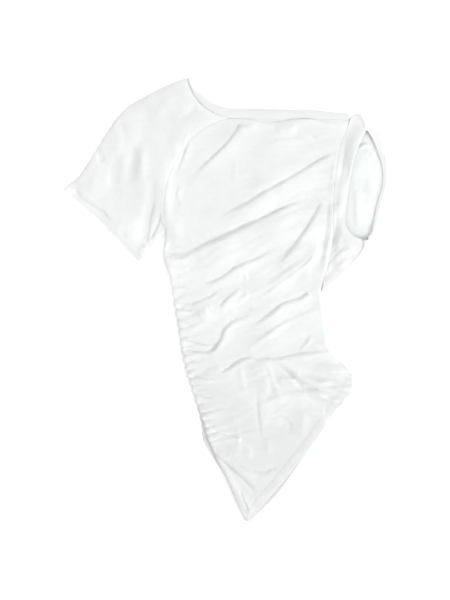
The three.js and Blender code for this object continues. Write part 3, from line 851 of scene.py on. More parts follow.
# ------------------------------------------------------------------------------------------ finishes
@dataclass(frozen=True)
class KnitFinish:
    """A knitted cloth: its colour with shade painted in towards the hem, its stitch and how it takes the
    light. Lengths are in metres.
    """

    name: str
    colour: Colour
    shade: Colour
    roughness: float
    sheen: float
    wale: float
    course: float
    depth: float
    sheer: float
    # painted shade: how much darker the colour grows towards the hem, and the object's Y where the darkening
    # starts and where it is full
    painted_hem_shade: float
    painted_shade_from: float = 0.02
    painted_shade_to: float = -0.36
    fuzz_grain: float = 1400.0
    slub_grain: float = 160.0
    cloud_grain: float = 14.0
    noise_detail: float = 3.0
    bump_strength: float = 0.55
    sheer_depth: float = 0.0016
    sheen_roughness: float = 0.5
    shine: float = 0.25

    def material(self) -> bpy.types.Material:
        """Makes the knit's node material.

        Returns:
            The material, which reads each point's place on the flat cloth.
        """
        net = NodeNet(self.name)
        place = net.add("ShaderNodeAttribute", attribute_name="grain")
        split = net.add("ShaderNodeSeparateXYZ", Vector=place.outputs["Vector"])
        loops = self.loops(net, split.outputs["X"], split.outputs["Y"])
        where = net.add("ShaderNodeTexCoord").outputs["Object"]
        fuzz = net.noise(where, self.fuzz_grain, self.noise_detail)
        slub = net.noise(where, self.slub_grain, self.noise_detail)
        cloud = net.noise(where, self.cloud_grain, self.noise_detail)
        raised = net.math("ADD", net.math("MULTIPLY", loops, 0.7), net.math("MULTIPLY", fuzz, 0.5))
        raised = net.math("ADD", raised, net.math("MULTIPLY", slub, 0.8))
        bump = net.add("ShaderNodeBump", Strength=self.bump_strength, Distance=self.depth, Height=raised)
        tint = net.math("ADD", net.math("MULTIPLY", cloud, 0.7), net.math("MULTIPLY", slub, 0.3))
        # painted shade: the colour darkens along the object's Y towards the hem, standing in for the light
        # falling off there
        height = net.add("ShaderNodeSeparateXYZ", Vector=where).outputs["Y"]
        lower = net.range(height, self.painted_shade_from, self.painted_shade_to, 0.0, self.painted_hem_shade)
        paler = net.math("SUBTRACT", net.range(tint, 0.25, 0.75, 0.2, 1.2), lower)
        colour = net.blend(net.range(paler, 0.0, 1.0, 0.0, 1.0), self.shade, self.colour)
        rough = net.range(slub, 0.3, 0.7, self.roughness - 0.05, self.roughness + 0.05)
        shader = net.add("ShaderNodeBsdfPrincipled", **{"Base Color": colour, "Roughness": rough})
        shader.inputs["Subsurface Weight"].default_value = self.sheer
        shader.inputs["Subsurface Radius"].default_value = (1.0, 1.0, 1.0)
        shader.inputs["Subsurface Scale"].default_value = self.sheer_depth
        shader.inputs["Sheen Weight"].default_value = self.sheen
        shader.inputs["Sheen Roughness"].default_value = self.sheen_roughness
        shader.inputs["Specular IOR Level"].default_value = self.shine
        net.link(bump.outputs["Normal"], shader.inputs["Normal"])
        net.out(shader)
        return net.made

    def loops(self, net: "NodeNet", across: Socket, down: Socket) -> Socket:
        """Draws the rows of V-shaped stitches.

        Args:
            net: The material's nodes.
            across: The place across the wales.
            down: The place down the wales.

        Returns:
            The stitches' height, from 0 to 1.
        """
        wale = net.math("ABSOLUTE", net.math("SINE", net.math("MULTIPLY", across, math.pi / self.wale)))
        slanted = net.math("ADD", net.math("DIVIDE", down, self.course), net.math("MULTIPLY", wale, 0.45))
        course = net.math("SINE", net.math("MULTIPLY", slanted, 2.0 * math.pi))
        return net.math("ADD", net.math("MULTIPLY", wale, 0.6), net.math("MULTIPLY", course, 0.2))


@dataclass(frozen=True)
class ThreadFinish:
    """Sewing thread: a twisted yarn with a slight shine."""


    name: str
    colour: Colour
    shade: Colour
    roughness: float
    ply_grain: float = 2600.0
    ply_detail: float = 2.0
    ply_depth: float = 0.0001
    bump_strength: float = 0.4

    def material(self) -> bpy.types.Material:
        """Makes the thread's node material.

        Returns:
            The material.
        """
        net = NodeNet(self.name)
        where = net.add("ShaderNodeTexCoord").outputs["Object"]
        ply = net.noise(where, self.ply_grain, self.ply_detail)
        colour = net.blend(net.range(ply, 0.35, 0.65, 0.0, 1.0), self.shade, self.colour)
        bump = net.add("ShaderNodeBump", Strength=self.bump_strength, Distance=self.ply_depth, Height=ply)
        shader = net.add("ShaderNodeBsdfPrincipled", **{"Base Color": colour})
        shader.inputs["Roughness"].default_value = self.roughness
        net.link(bump.outputs["Normal"], shader.inputs["Normal"])
        net.out(shader)
        return net.made


@dataclass(frozen=True)
class FloorFinish:
    """A plain matt floor, faintly lit from below so that what lies on it casts hardly any shadow."""

    name: str
    colour: Colour
    glow: float
    roughness: float = 0.95

    def material(self) -> bpy.types.Material:
        """Makes the floor's material.

        Returns:
            The material.
        """
        net = NodeNet(self.name)
        shader = net.add("ShaderNodeBsdfPrincipled")
        shader.inputs["Base Color"].default_value = (*self.colour, 1.0)
        shader.inputs["Roughness"].default_value = self.roughness
        shader.inputs["Specular IOR Level"].default_value = 0.0
        shader.inputs["Emission Color"].default_value = (1.0, 1.0, 1.0, 1.0)
        shader.inputs["Emission Strength"].default_value = self.glow
        net.out(shader)
        return net.made


class NodeNet:
    """A material's nodes, made and joined a few at a time."""

    def __init__(self, name: str) -> None:
        """Starts an empty material.

        Args:
            name: The material's name.
        """
        self.made = bpy.data.materials.new(name)
        self.made.use_nodes = True
        self.made.node_tree.nodes.clear()

    def add(self, kind: str, **settings: object) -> bpy.types.Node:
        """Adds a node.

        Args:
            kind: The node's type.
            settings: Inputs by name, as numbers or sockets, and plain properties.

        Returns:
            The node.
        """
        node = self.made.node_tree.nodes.new(kind)
        for key, value in settings.items():
            if key not in node.inputs:
                setattr(node, key, value)
            elif isinstance(value, bpy.types.NodeSocket):
                self.link(value, node.inputs[key])
            else:
                node.inputs[key].default_value = value
        return node

    def link(self, start: Socket, end: Socket) -> None:
        """Joins an output to an input."""
        self.made.node_tree.links.new(start, end)

    def math(self, operation: str, first: Socket, second: Socket | float | None = None) -> Socket:
        """Adds a sum.

        Args:
            operation: Which sum.
            first: Its first number.
            second: Its second number, if it takes one.

        Returns:
            The result's socket.
        """
        node = self.add("ShaderNodeMath", operation=operation)
        for socket, value in zip(node.inputs, (first, second)):
            if isinstance(value, bpy.types.NodeSocket):
                self.link(value, socket)
            elif value is not None:
                socket.default_value = value
        return node.outputs["Value"]

    def noise(self, where: Socket, scale: float, detail: float) -> Socket:
        """Adds a noise from 0 to 1, with so many grains to a metre and so many finer layers."""
        return self.add("ShaderNodeTexNoise", Vector=where, Scale=scale, Detail=detail).outputs["Fac"]

    def range(self, value: Socket, low: float, high: float, first: float, last: float) -> Socket:
        """Spreads the numbers from low to high over the range from first to last, and holds them in it."""
        settings = {"Value": value, "From Min": low, "From Max": high, "To Min": first, "To Max": last}
        return self.add("ShaderNodeMapRange", **settings).outputs["Result"]

    def blend(self, share: Socket, first: Colour, last: Colour) -> Socket:
        """Goes from one colour to another.

        Args:
            share: 0 for the first colour to 1 for the last.
            first: A colour.
            last: A colour.

        Returns:
            The colour's socket.
        """
        node = self.add("ShaderNodeValToRGB", Fac=share)
        node.color_ramp.elements[0].color = (*first, 1.0)
        node.color_ramp.elements[1].color = (*last, 1.0)
        return node.outputs["Color"]

    def out(self, shader: bpy.types.Node) -> None:
        """Gives the shader to the surface."""
        output = self.add("ShaderNodeOutputMaterial")
        self.link(shader.outputs[0], output.inputs["Surface"])


JERSEY = KnitFinish(
    name="white_jersey",
    colour=(0.835, 0.858, 0.846),
    shade=(0.735, 0.755, 0.74),
    roughness=0.85,
    sheen=0.12,
    wale=0.0011,
    course=0.0009,
    depth=0.00022,
    sheer=0.5,
    painted_hem_shade=0.95,
)
RIB = KnitFinish(
    name="white_rib",
    colour=(0.81, 0.826, 0.818),
    shade=(0.755, 0.77, 0.76),
    roughness=0.88,
    sheen=0.10,
    wale=0.0021,
    course=0.0011,
    depth=0.00050,
    sheer=0.4,
    painted_hem_shade=0.2,
)
THREAD = ThreadFinish("white_thread", (0.86, 0.87, 0.86), (0.76, 0.77, 0.76), 0.6)
FLOOR = FloorFinish(FLOOR_NAME, (0.62, 0.62, 0.62), 0.5)


# ------------------------------------------------------------------------------------------ stitching
@dataclass(frozen=True)
class Needlework:
    """Rows of machine stitches, each stitch a short bowed thread that dives into the cloth at both ends."""

    stitch: float = 2.7
    gap: float = 0.8
    radius: float = 0.24
    rows_apart: float = 2.4
    sides: int = 6
    proud: float = 0.1
    # along each stitch: how far along it is, how thick the thread is there, and how proud it stands
    profile: Table = ((0.0, 0.4, -1.0), (0.18, 0.9, 0.2), (0.5, 1.0, 1.0), (0.82, 0.9, 0.2), (1.0, 0.4, -1.0))

    def depths(self) -> tuple[float, float]:
        """How far in from a hem's edge its two rows of stitches run."""
        outer = MAKE.hem_depth - MAKE.stitch_inset
        return outer, outer - self.rows_apart

    def sew(self, name: str, paths: list[SewingRow], thread: bpy.types.Material) -> bpy.types.Object:
        """Sews stitches along some paths on the cloth.

        Args:
            name: The piece's name.
            paths: For each row of stitches its points on the cloth's face, and the face's normals there.
            thread: The thread's material.

        Returns:
            All the rows as one mesh.
        """
        points, faces = [], []
        size = 0
        for path, normals in paths:
            for made in self.row(path, normals):
                points.append(made)
                faces.append(self.skin() + size)
                size += len(made)
        points = np.concatenate(points)
        piece = mesh_piece(name, points, np.concatenate(faces), points[:, :2] * MM)
        piece.data.materials.append(thread)
        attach(piece, BODY_NAME)
        log.info("%s: %d stitches", name, len(faces))
        return piece

    def row(self, path: np.ndarray, normals: np.ndarray) -> list[np.ndarray]:
        """The stitches of one row.

        Args:
            path: Points on the cloth's face, in millimetres.
            normals: The face's normals there.

        Returns:
            The points of each stitch.
        """
        travelled = np.concatenate([[0.0], np.cumsum(np.linalg.norm(np.diff(path, axis=0), axis=1))])
        count = int(travelled[-1] / (self.stitch + self.gap))
        shares, thicknesses, heights = np.array(self.profile).T
        angle = 2.0 * math.pi * np.arange(self.sides)[None, :, None] / self.sides
        level_share, upward_share = np.cos(angle), np.sin(angle)
        made = []
        for number in range(count):
            at = number * (self.stitch + self.gap) + shares * self.stitch
            centre = np.stack([np.interp(at, travelled, path[:, k]) for k in range(3)], 1)
            up = np.stack([np.interp(at, travelled, normals[:, k]) for k in range(3)], 1)
            sideways = unit(np.cross(centre[-1] - centre[0], up))
            centre = centre + up * (self.proud + self.radius * heights)[:, None]
            ring = sideways[:, None] * level_share + up[:, None] * upward_share
            made.append((centre[:, None] + ring * (self.radius * thicknesses)[:, None, None]).reshape(-1, 3))
        return made

    def skin(self) -> np.ndarray:
        """The faces of one stitch: its side and its two ends.

        Returns:
            Rows of four point numbers.
        """
        faces = []
        last = (len(self.profile) - 1) * self.sides
        for ring in range(0, last, self.sides):
            for side in range(self.sides):
                a, b = ring + side, ring + (side + 1) % self.sides
                faces.append((a, b, b + self.sides, a + self.sides))
        faces += [(3, 2, 1, 0), (0, 5, 4, 3)]
        faces += [(last, last + 1, last + 2, last + 3), (last + 3, last + 4, last + 5, last)]
        return np.array(faces)


NEEDLEWORK = Needlework()


def on_face(middle: np.ndarray, beside: np.ndarray) -> tuple[np.ndarray, np.ndarray]:
    """Moves a line on the cloth's middle out to its upper face.

    Args:
        middle: Points of the line, rows by 3.
        beside: Points a little further in from the hem, rows by 3.

    Returns:
        The line on the upper face, and the face's normals along it.
    """
    normal = np.cross(np.gradient(middle, axis=0), beside - middle)
    normal = unit(normal * np.where(normal[:, 2:] < 0.0, -1.0, 1.0))
    return middle + normal * MAKE.jersey / 2.0, normal


def hem_rows(
    cloth: Callable[[np.ndarray], np.ndarray], inside: np.ndarray, places: np.ndarray, step: float
) -> list[SewingRow]:
    """Lays the two rows of stitches along a hem.

    Args:
        cloth: Gives the cloth's points, one for each point of the hem, at as many places.
        inside: How far in from the hem's edge the places lie, a row for each point of the hem.
        places: The places' own numbers, the same for each point of the hem.
        step: What leads from a place's number to its neighbour's, further in.

    Returns:
        For each row of stitches its points on the cloth's face, and the normals there.
    """
    lines = []
    for depth in NEEDLEWORK.depths():
        at = np.array([np.interp(depth, row, places) for row in np.maximum.accumulate(inside, 1)])
        lines.append(on_face(cloth(at), cloth(at + step)))
    return lines


# ------------------------------------------------------------------------------------------ pieces
@dataclass
class Piece:
    """What every cloth piece of the garment shares: its finish, its names and its flat cut in metres."""

    finish: bpy.types.Material
    name: str
    node: str
    hand: Hand
    flat: tuple[float, float]
    area: float | None = None
    slot: Slot = Slot.JERSEY
    rests_on: tuple[str, ...] = (FLOOR_NAME,)
    stitches: str = ""

    def wall(self) -> ClothWall:
        """Shapes the piece's cloth, each kind of piece in its own way."""
        raise NotImplementedError

    def stitch_lines(self) -> list[SewingRow]:
        """The rows of stitches along the piece's hem, none where it has no stitched hem."""
        return []

    def dress(self, made: bpy.types.Object) -> bpy.types.Object:
        """Gives a made piece its finish and its place in the frame.

        Args:
            made: The piece's object.

        Returns:
            The same object.
        """
        made.data.materials.append(self.finish)
        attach(made, BODY_NAME)
        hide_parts(self.node)
        log.info("%s: %d faces", made.name, len(made.data.polygons))
        return made

    def make(self, thread: bpy.types.Material) -> bpy.types.Object:
        """Builds and dresses the piece, and sews its hem.

        Args:
            thread: The thread's material.

        Returns:
            The dressed piece.
        """
        made = self.dress(self.wall().build(self.name))
        rows = self.stitch_lines()
        trims = [NEEDLEWORK.sew(self.stitches, rows, thread)] if rows else []
        return made


def seam_groove(distance: np.ndarray) -> np.ndarray:
    """How far the cloth sinks beside a seam, in millimetres."""
    return MAKE.seam_sink * bell(distance, MAKE.seam_reach)


def hem_band(distance: np.ndarray) -> np.ndarray:
    """How far a turned hem stands proud at distances from its edge, with the dip of its stitching."""
    band = MAKE.hem_step * (1.0 - smooth(distance, MAKE.hem_depth - 0.6, MAKE.hem_depth + 0.8))
    return band - MAKE.stitch_sink * bell(distance - MAKE.hem_depth + MAKE.stitch_inset, MAKE.stitch_reach)


@dataclass
class FrontPanel(Piece):
    """The front: gathered down its left seam and free along its hem."""

    name: str = "front_cloth"
    node: str = "front_panel"
    hand: Hand = Hand.GATHERED
    flat: tuple[float, float] = (0.38, 0.86)
    area: float | None = 0.21
    rests_on: tuple[str, ...] = ("back_cloth",)
    stitches: str = "hem_stitches"
    rows: int = 300
    columns: int = 140
    column_spread: float = 1.12
    edge_roll: float = 5.0
    left_rest: float = 0.22
    right_rest: float = 0.15
    neck_sink: float = 1.5
    neck_reach: float = 7.0
    hem_share: float = 0.45
    sewn: tuple[int, int] = (260, 90)

    def sections(self) -> np.ndarray:
        """Picks the sections that are sampled, closer together where the cloth is gathered.

        Returns:
            Section numbers, from the neckline to the hem's point.
        """
        start, stop = BODY.gathered
        knots = np.array([BODY.first, start - 0.6, stop + 0.4, BODY.tip - 0.02])
        shares = np.array([0.0, 0.27, 0.82, 1.0])
        return np.interp(np.linspace(0.0, 1.0, self.rows), shares, knots)

    def surface(self, section: np.ndarray, across: np.ndarray) -> np.ndarray:
        """The front's cloth at some places.

        Args:
            section: Section numbers.
            across: 0 at the left end to 1 at the right end.

        Returns:
            x, y and z in millimetres on the last axis.
        """
        section, across = np.broadcast_arrays(np.asarray(section, float), np.asarray(across, float))
        xy = BODY.point(section, across)
        x, y = xy[..., 0], xy[..., 1]
        height = RELIEF.body(section, across, x, y) * self.held(section, across)
        return MAKE.on_back(x, y, height + self.seams(section, across, x, y))

    def held(self, section: np.ndarray, across: np.ndarray) -> np.ndarray:
        """How much of its height the cloth keeps near its side seams, and 1 along a free hem.

        Args:
            section: Section numbers.
            across: 0 at the left end to 1 at the right end.

        Returns:
            Shares from 0 to 1.
        """
        width = BODY.width(section)
        side_seam = smooth(section, BODY.armpit - 0.6, BODY.armpit)
        far_seam = window(section, BODY.underarm - 0.4, BODY.underarm, BODY.hip - 0.4, BODY.hip + 0.3)
        left = held_down(across * width, self.edge_roll, self.left_rest)
        right = held_down((1.0 - across) * width, self.edge_roll, self.right_rest)
        return mix(1.0, left, side_seam) * mix(1.0, right, far_seam)

    def seams(self, section: np.ndarray, across: np.ndarray, x: np.ndarray, y: np.ndarray) -> np.ndarray:
        """The grooves beside the panel's seams and the band of its hem.

        Args:
            section: Section numbers.
            across: 0 at the left end to 1 at the right end.
            x: Places on the garment.
            y: Places on the garment.

        Returns:
            Heights in millimetres.
        """
        width = BODY.width(section)
        sleeve_seam = 1.0 - smooth(section, BODY.armpit - 0.2, BODY.armpit + 0.2)
        armhole = 1.0 - smooth(section, BODY.underarm - 0.3, BODY.underarm + 0.1)
        sunk = sleeve_seam * seam_groove(across * width) + armhole * seam_groove((1.0 - across) * width)
        top = BODY.point(np.zeros_like(section), across)
        sunk = sunk + self.neck_sink * bell(np.hypot(x - top[..., 0], y - top[..., 1]), self.neck_reach)
        return self.hem_share * hem_band(self.from_hem(x, y)) - sunk

    def from_hem(self, x: np.ndarray, y: np.ndarray) -> np.ndarray:
        """How far places lie in from the free hem, in millimetres, and a large number away from it."""
        hem = BODY.point(np.linspace(BODY.hip + 2.6, BODY.tip, 9), np.ones(9))
        return from_edge(hem, x, y, 1.5 * MAKE.hem_depth)

    def stitch_lines(self) -> list[SewingRow]:
        """The two rows of stitches along the free hem.

        Returns:
            For each row its points on the cloth's face, and the normals there.
        """
        section = np.linspace(BODY.hip + 0.9, BODY.tip - 0.35, self.sewn[0])
        across = np.linspace(1.0, 0.55, self.sewn[1])
        xy = BODY.point(*np.broadcast_arrays(section[:, None], across[None, :]))
        inside = self.from_hem(xy[..., 0], xy[..., 1])
        return hem_rows(partial(self.surface, section), inside, across, -0.004)

    def wall(self) -> ClothWall:
        """Shapes the front.

        Returns:
            Its wall of cloth.
        """
        section = self.sections()[:, None]
        inset = MAKE.seam_inset / BODY.width(section)
        column = np.linspace(0.0, 1.0, self.columns)[None, :] ** self.column_spread
        return ClothWall(self.surface(section, mix(inset, 1.0 - inset, column)), MAKE.jersey)


@dataclass
class BackPanel(Piece):
    """The back, which lies flat under the front and shows along the hem."""

    name: str = "back_cloth"
    node: str = "back_panel"
    hand: Hand = Hand.LAID
    flat: tuple[float, float] = (0.36, 0.80)
    area: float | None = 0.18
    rows: int = 170
    columns: int = 60

    def wall(self) -> ClothWall:
        """Shapes the back.

        Returns:
            Its wall of cloth.
        """
        section = np.linspace(BODY.first, BODY.tip - 0.02, self.rows)[:, None]
        row = BODY.row(section)
        width = BODY.width(section)
        low = -(row[..., 4] - MAKE.seam_inset) / width
        high = 1.0 + (row[..., 5] - MAKE.seam_inset) / width
        across = mix(low, high, np.linspace(0.0, 1.0, self.columns)[None, :])
        xy = BODY.point(np.broadcast_to(section, across.shape), across)
        height = MAKE.back_middle + RELIEF.pressed(xy[..., 0], xy[..., 1])
        return ClothWall(np.concatenate([xy, height[..., None]], 2), MAKE.jersey)


@dataclass
class RaglanSleeve(Piece):
    """The raglan sleeve: one piece folded over the shoulder, spread out flat, with a curled cuff."""

    name: str = "raglan_sleeve_cloth"
    node: str = "raglan_sleeve"
    hand: Hand = Hand.FOLDED
    flat: tuple[float, float] = (0.36, 0.38)
    area: float | None = 0.088
    stitches: str = "cuff_stitches"
    cuff: float = 8.0
    rows: int = 190
    over_columns: int = 110
    under_columns: int = 34
    turn_steps: int = 6
    swell_rise: float = 2.6
    ripple_rise: float = 0.3
    seam_roll: float = 7.0
    seam_rest: float = 0.2
    fold_roll: float = 8.0
    fold_rest: float = 0.35
    body_reach: float = 16.0
    cuff_rest: float = 0.7
    corner_rise: float = 7.5
    corner_reach: tuple[float, float] = (17.0, 10.0)
    lip_rise: float = 2.2
    lip_reach: float = 8.0
    sewn: tuple[int, int] = (160, 90)
    underarm: Table = ((-106, 121.5), (-122.5, 103.5), (-137, 82), (-151, 67.5))
    # the folded edge on top of the shoulder, x and y, and the bow of each section
    fold: Table = (
        (-68.5, 399, 17),
        (-99, 388, 8),
        (-135, 370, 2),
        (-171, 350, 0),
        (-194.5, 326.5, 0),
        (-216, 294.5, 0),
        (-239.5, 256.5, 0),
        (-263, 222, 0),
        (-290, 201, -5),
    )
    dents: tuple[Fold, ...] = (
        Roll(((-191, 328), (-178, 291), (-182, 255)), -2.4, 8, 10),
        Roll(((-232, 271), (-218, 249)), -3.0, 5, 6, (0.2, 0.4)),
        Roll(((-164, 291), (-166, 251), (-171, 208)), -2.4, 9, 10),
        Roll(((-146, 287), (-148, 251), (-153, 208)), 2.4, 9, 10),
        Roll(((-193, 269), (-198, 230), (-203, 186)), -2.2, 10, 9),
        Roll(((-218, 248), (-232, 212), (-232, 183)), 2.8, 14, 20),
        Roll(((-70, 298), (-88, 266), (-103, 233), (-108, 194), (-106, 132)), 1.8, 20, 12, (0.15, 0.1)),
        Roll(((-128, 222), (-131, 186), (-139, 154)), -2.2, 10, 8),
        Roll(((-140, 374), (-164, 359), (-182, 341)), -2.0, 9, 12),
        Roll(((-88, 374), (-113, 345), (-135, 320)), 2.4, 16, 12),
        Roll(((-47, 348), (-63, 338), (-85, 320)), -1.8, 8, 10),
        Roll(((-139, 100), (-153, 82)), 2.6, 6, 7, (0.2, 0.1)),
        Roll(((-178, 132), (-185, 111)), -1.6, 8, 8),
        Crease(((-126, 178), (-135, 145), (-140, 102)), 2.4, 1.6, 10, 5, 9, (0.3, 0.15)),
        Crease(((-112, 158), (-122, 132), (-133, 109)), 2.4, 1.8, 8, 4, 8, (0.3, 0.2)),
        Roll(((-134, 176), (-142, 140), (-149, 104)), -2.6, 9, 9, (0.35, 0.2)),
        Crease(((-268, 201), (-256, 183), (-234, 168), (-216, 158), (-205, 136)),
               2.6, 1.4, 12, 4.0, 12, (0.1, 0.35)),
    )

    def under_edge(self, section: np.ndarray) -> np.ndarray:
        """The sleeve's under edge: the raglan seam, and then the underarm seam.

        Args:
            section: Section numbers of the sleeve.

        Returns:
            x and y on the last axis.
        """
        on_body = BODY.point(np.minimum(section, BODY.armpit), np.zeros_like(section))
        on_arm = along_rows(self.underarm, np.maximum(section - BODY.armpit, 0.0))
        return np.where((section <= BODY.armpit)[..., None], on_body, on_arm)

    def point(self, section: np.ndarray, across: np.ndarray) -> np.ndarray:
        """A point of the flat sleeve.

        Args:
            section: Section numbers of the sleeve.
            across: 0 at the shoulder's fold to 1 at the seam.

        Returns:
            x and y on the last axis.
        """
        section, across = np.broadcast_arrays(section, across)
        row = along_rows(self.fold, section)
        fold = row[..., :2]
        along = self.under_edge(section) - fold
        sideways = unit(np.stack([along[..., 1], -along[..., 0]], -1))
        bow = row[..., 2] * 4.0 * across * (1.0 - across)
        return fold + along * across[..., None] + sideways * bow[..., None]

    def width(self, section: np.ndarray) -> np.ndarray:
        """How wide the flat sleeve is at each section."""
        ends = self.point(section, np.ones_like(section)) - self.point(section, np.zeros_like(section))
        return np.linalg.norm(ends, axis=-1)

    def from_cuff(self, xy: np.ndarray) -> np.ndarray:
        """How far places lie in from the cuff's edge, in millimetres, and a large number away from it."""
        edge = self.point(np.full(7, self.cuff), np.linspace(0.0, 1.0, 7))
        return from_edge(edge, xy[..., 0], xy[..., 1], 2.0 * MAKE.hem_depth)

    def upper(self, section: np.ndarray, across: np.ndarray) -> np.ndarray:
        """The sleeve's upper layer.

        Args:
            section: Section numbers of the sleeve.
            across: 0 at the shoulder's fold to 1 at the seam.

        Returns:
            x, y and z on the last axis.
        """
        section, across = np.broadcast_arrays(section, across)
        xy = self.point(section, across)
        x, y = xy[..., 0], xy[..., 1]
        width = self.width(section)
        from_fold, from_seam, inside = across * width, (1.0 - across) * width, self.from_cuff(xy)
        lifted = self.swell_rise * RELIEF.cloud.at(x / 36.0, y / 58.0)
        lifted = lifted + self.ripple_rise * RELIEF.cloud.at(x / 15.0, y / 24.0)
        for dent in self.dents:
            lifted = lifted + dent.lift(x, y)
        own = RELIEF.settled(lifted + MAKE.sleeve_loft + MAKE.sleeve_ease)
        shared = RELIEF.body(np.minimum(section, BODY.armpit), np.zeros_like(x), x, y)
        on_body = bell(from_seam, self.body_reach) * (1.0 - smooth(section, BODY.armpit - 0.4, BODY.armpit))
        on_arm = smooth(section, BODY.armpit - 0.2, BODY.armpit + 0.1)
        height = mix(own, shared, on_body)
        height = height * mix(1.0, held_down(from_seam, self.seam_roll, self.seam_rest), on_arm)
        height = height * held_down(from_fold, self.fold_roll, self.fold_rest)
        height = height * mix(self.cuff_rest, 1.0, smooth(inside, 0.0, 9.0)) + hem_band(inside)
        corner = self.corner_rise * bell(from_fold, self.corner_reach[0]) * bell(inside, self.corner_reach[1])
        raglan = (1.0 - on_arm) * seam_groove(from_seam)
        neck = seam_groove(np.linalg.norm(xy - self.point(np.zeros_like(section), across), axis=-1))
        return MAKE.on_back(x, y, height + corner - raglan - neck)

    def stitch_lines(self) -> list[SewingRow]:
        """The two rows of stitches round the upper side of the cuff.

        Returns:
            For each row its points on the cloth's face, and the normals there.
        """
        across = np.linspace(0.04, 0.985, self.sewn[0])
        section = np.linspace(self.cuff, self.cuff - 2.0, self.sewn[1])
        inside = self.from_cuff(self.point(*np.broadcast_arrays(section[None, :], across[:, None])))
        return hem_rows(partial(self.upper, across=across), inside, section, -0.02)

    def wall(self) -> ClothWall:
        """Shapes the sleeve: its under layer, the turn over the shoulder, and its upper layer.

        Returns:
            Its wall of cloth.
        """
        section = np.linspace(BODY.first, self.cuff, self.rows)[:, None]
        width = self.width(section)
        seam = 1.0 - MAKE.seam_inset / width
        edge = self.upper(section, np.full_like(section, 0.02))
        start = (edge[..., 2] - MAKE.back_middle) / 2.0 / width
        over = self.upper(section, mix(start, seam, np.linspace(0.0, 1.0, self.over_columns)[None, :]))
        across = mix(seam, start, np.linspace(0.0, 1.0, self.under_columns)[None, :])
        xy = self.point(*np.broadcast_arrays(section, across))
        z = MAKE.back_middle + RELIEF.pressed(xy[..., 0], xy[..., 1])
        lip = self.lip_rise * bell(self.from_cuff(xy), self.lip_reach) * (1.0 - smooth(across, 0.1, 0.3))
        under = np.concatenate([xy, (z + lip)[..., None]], -1)
        around = turn(under[:, -1], over[:, 0], level(over[:, 0] - over[:, 6]), self.turn_steps)
        return ClothWall(np.concatenate([under, around, over], 1), MAKE.jersey)


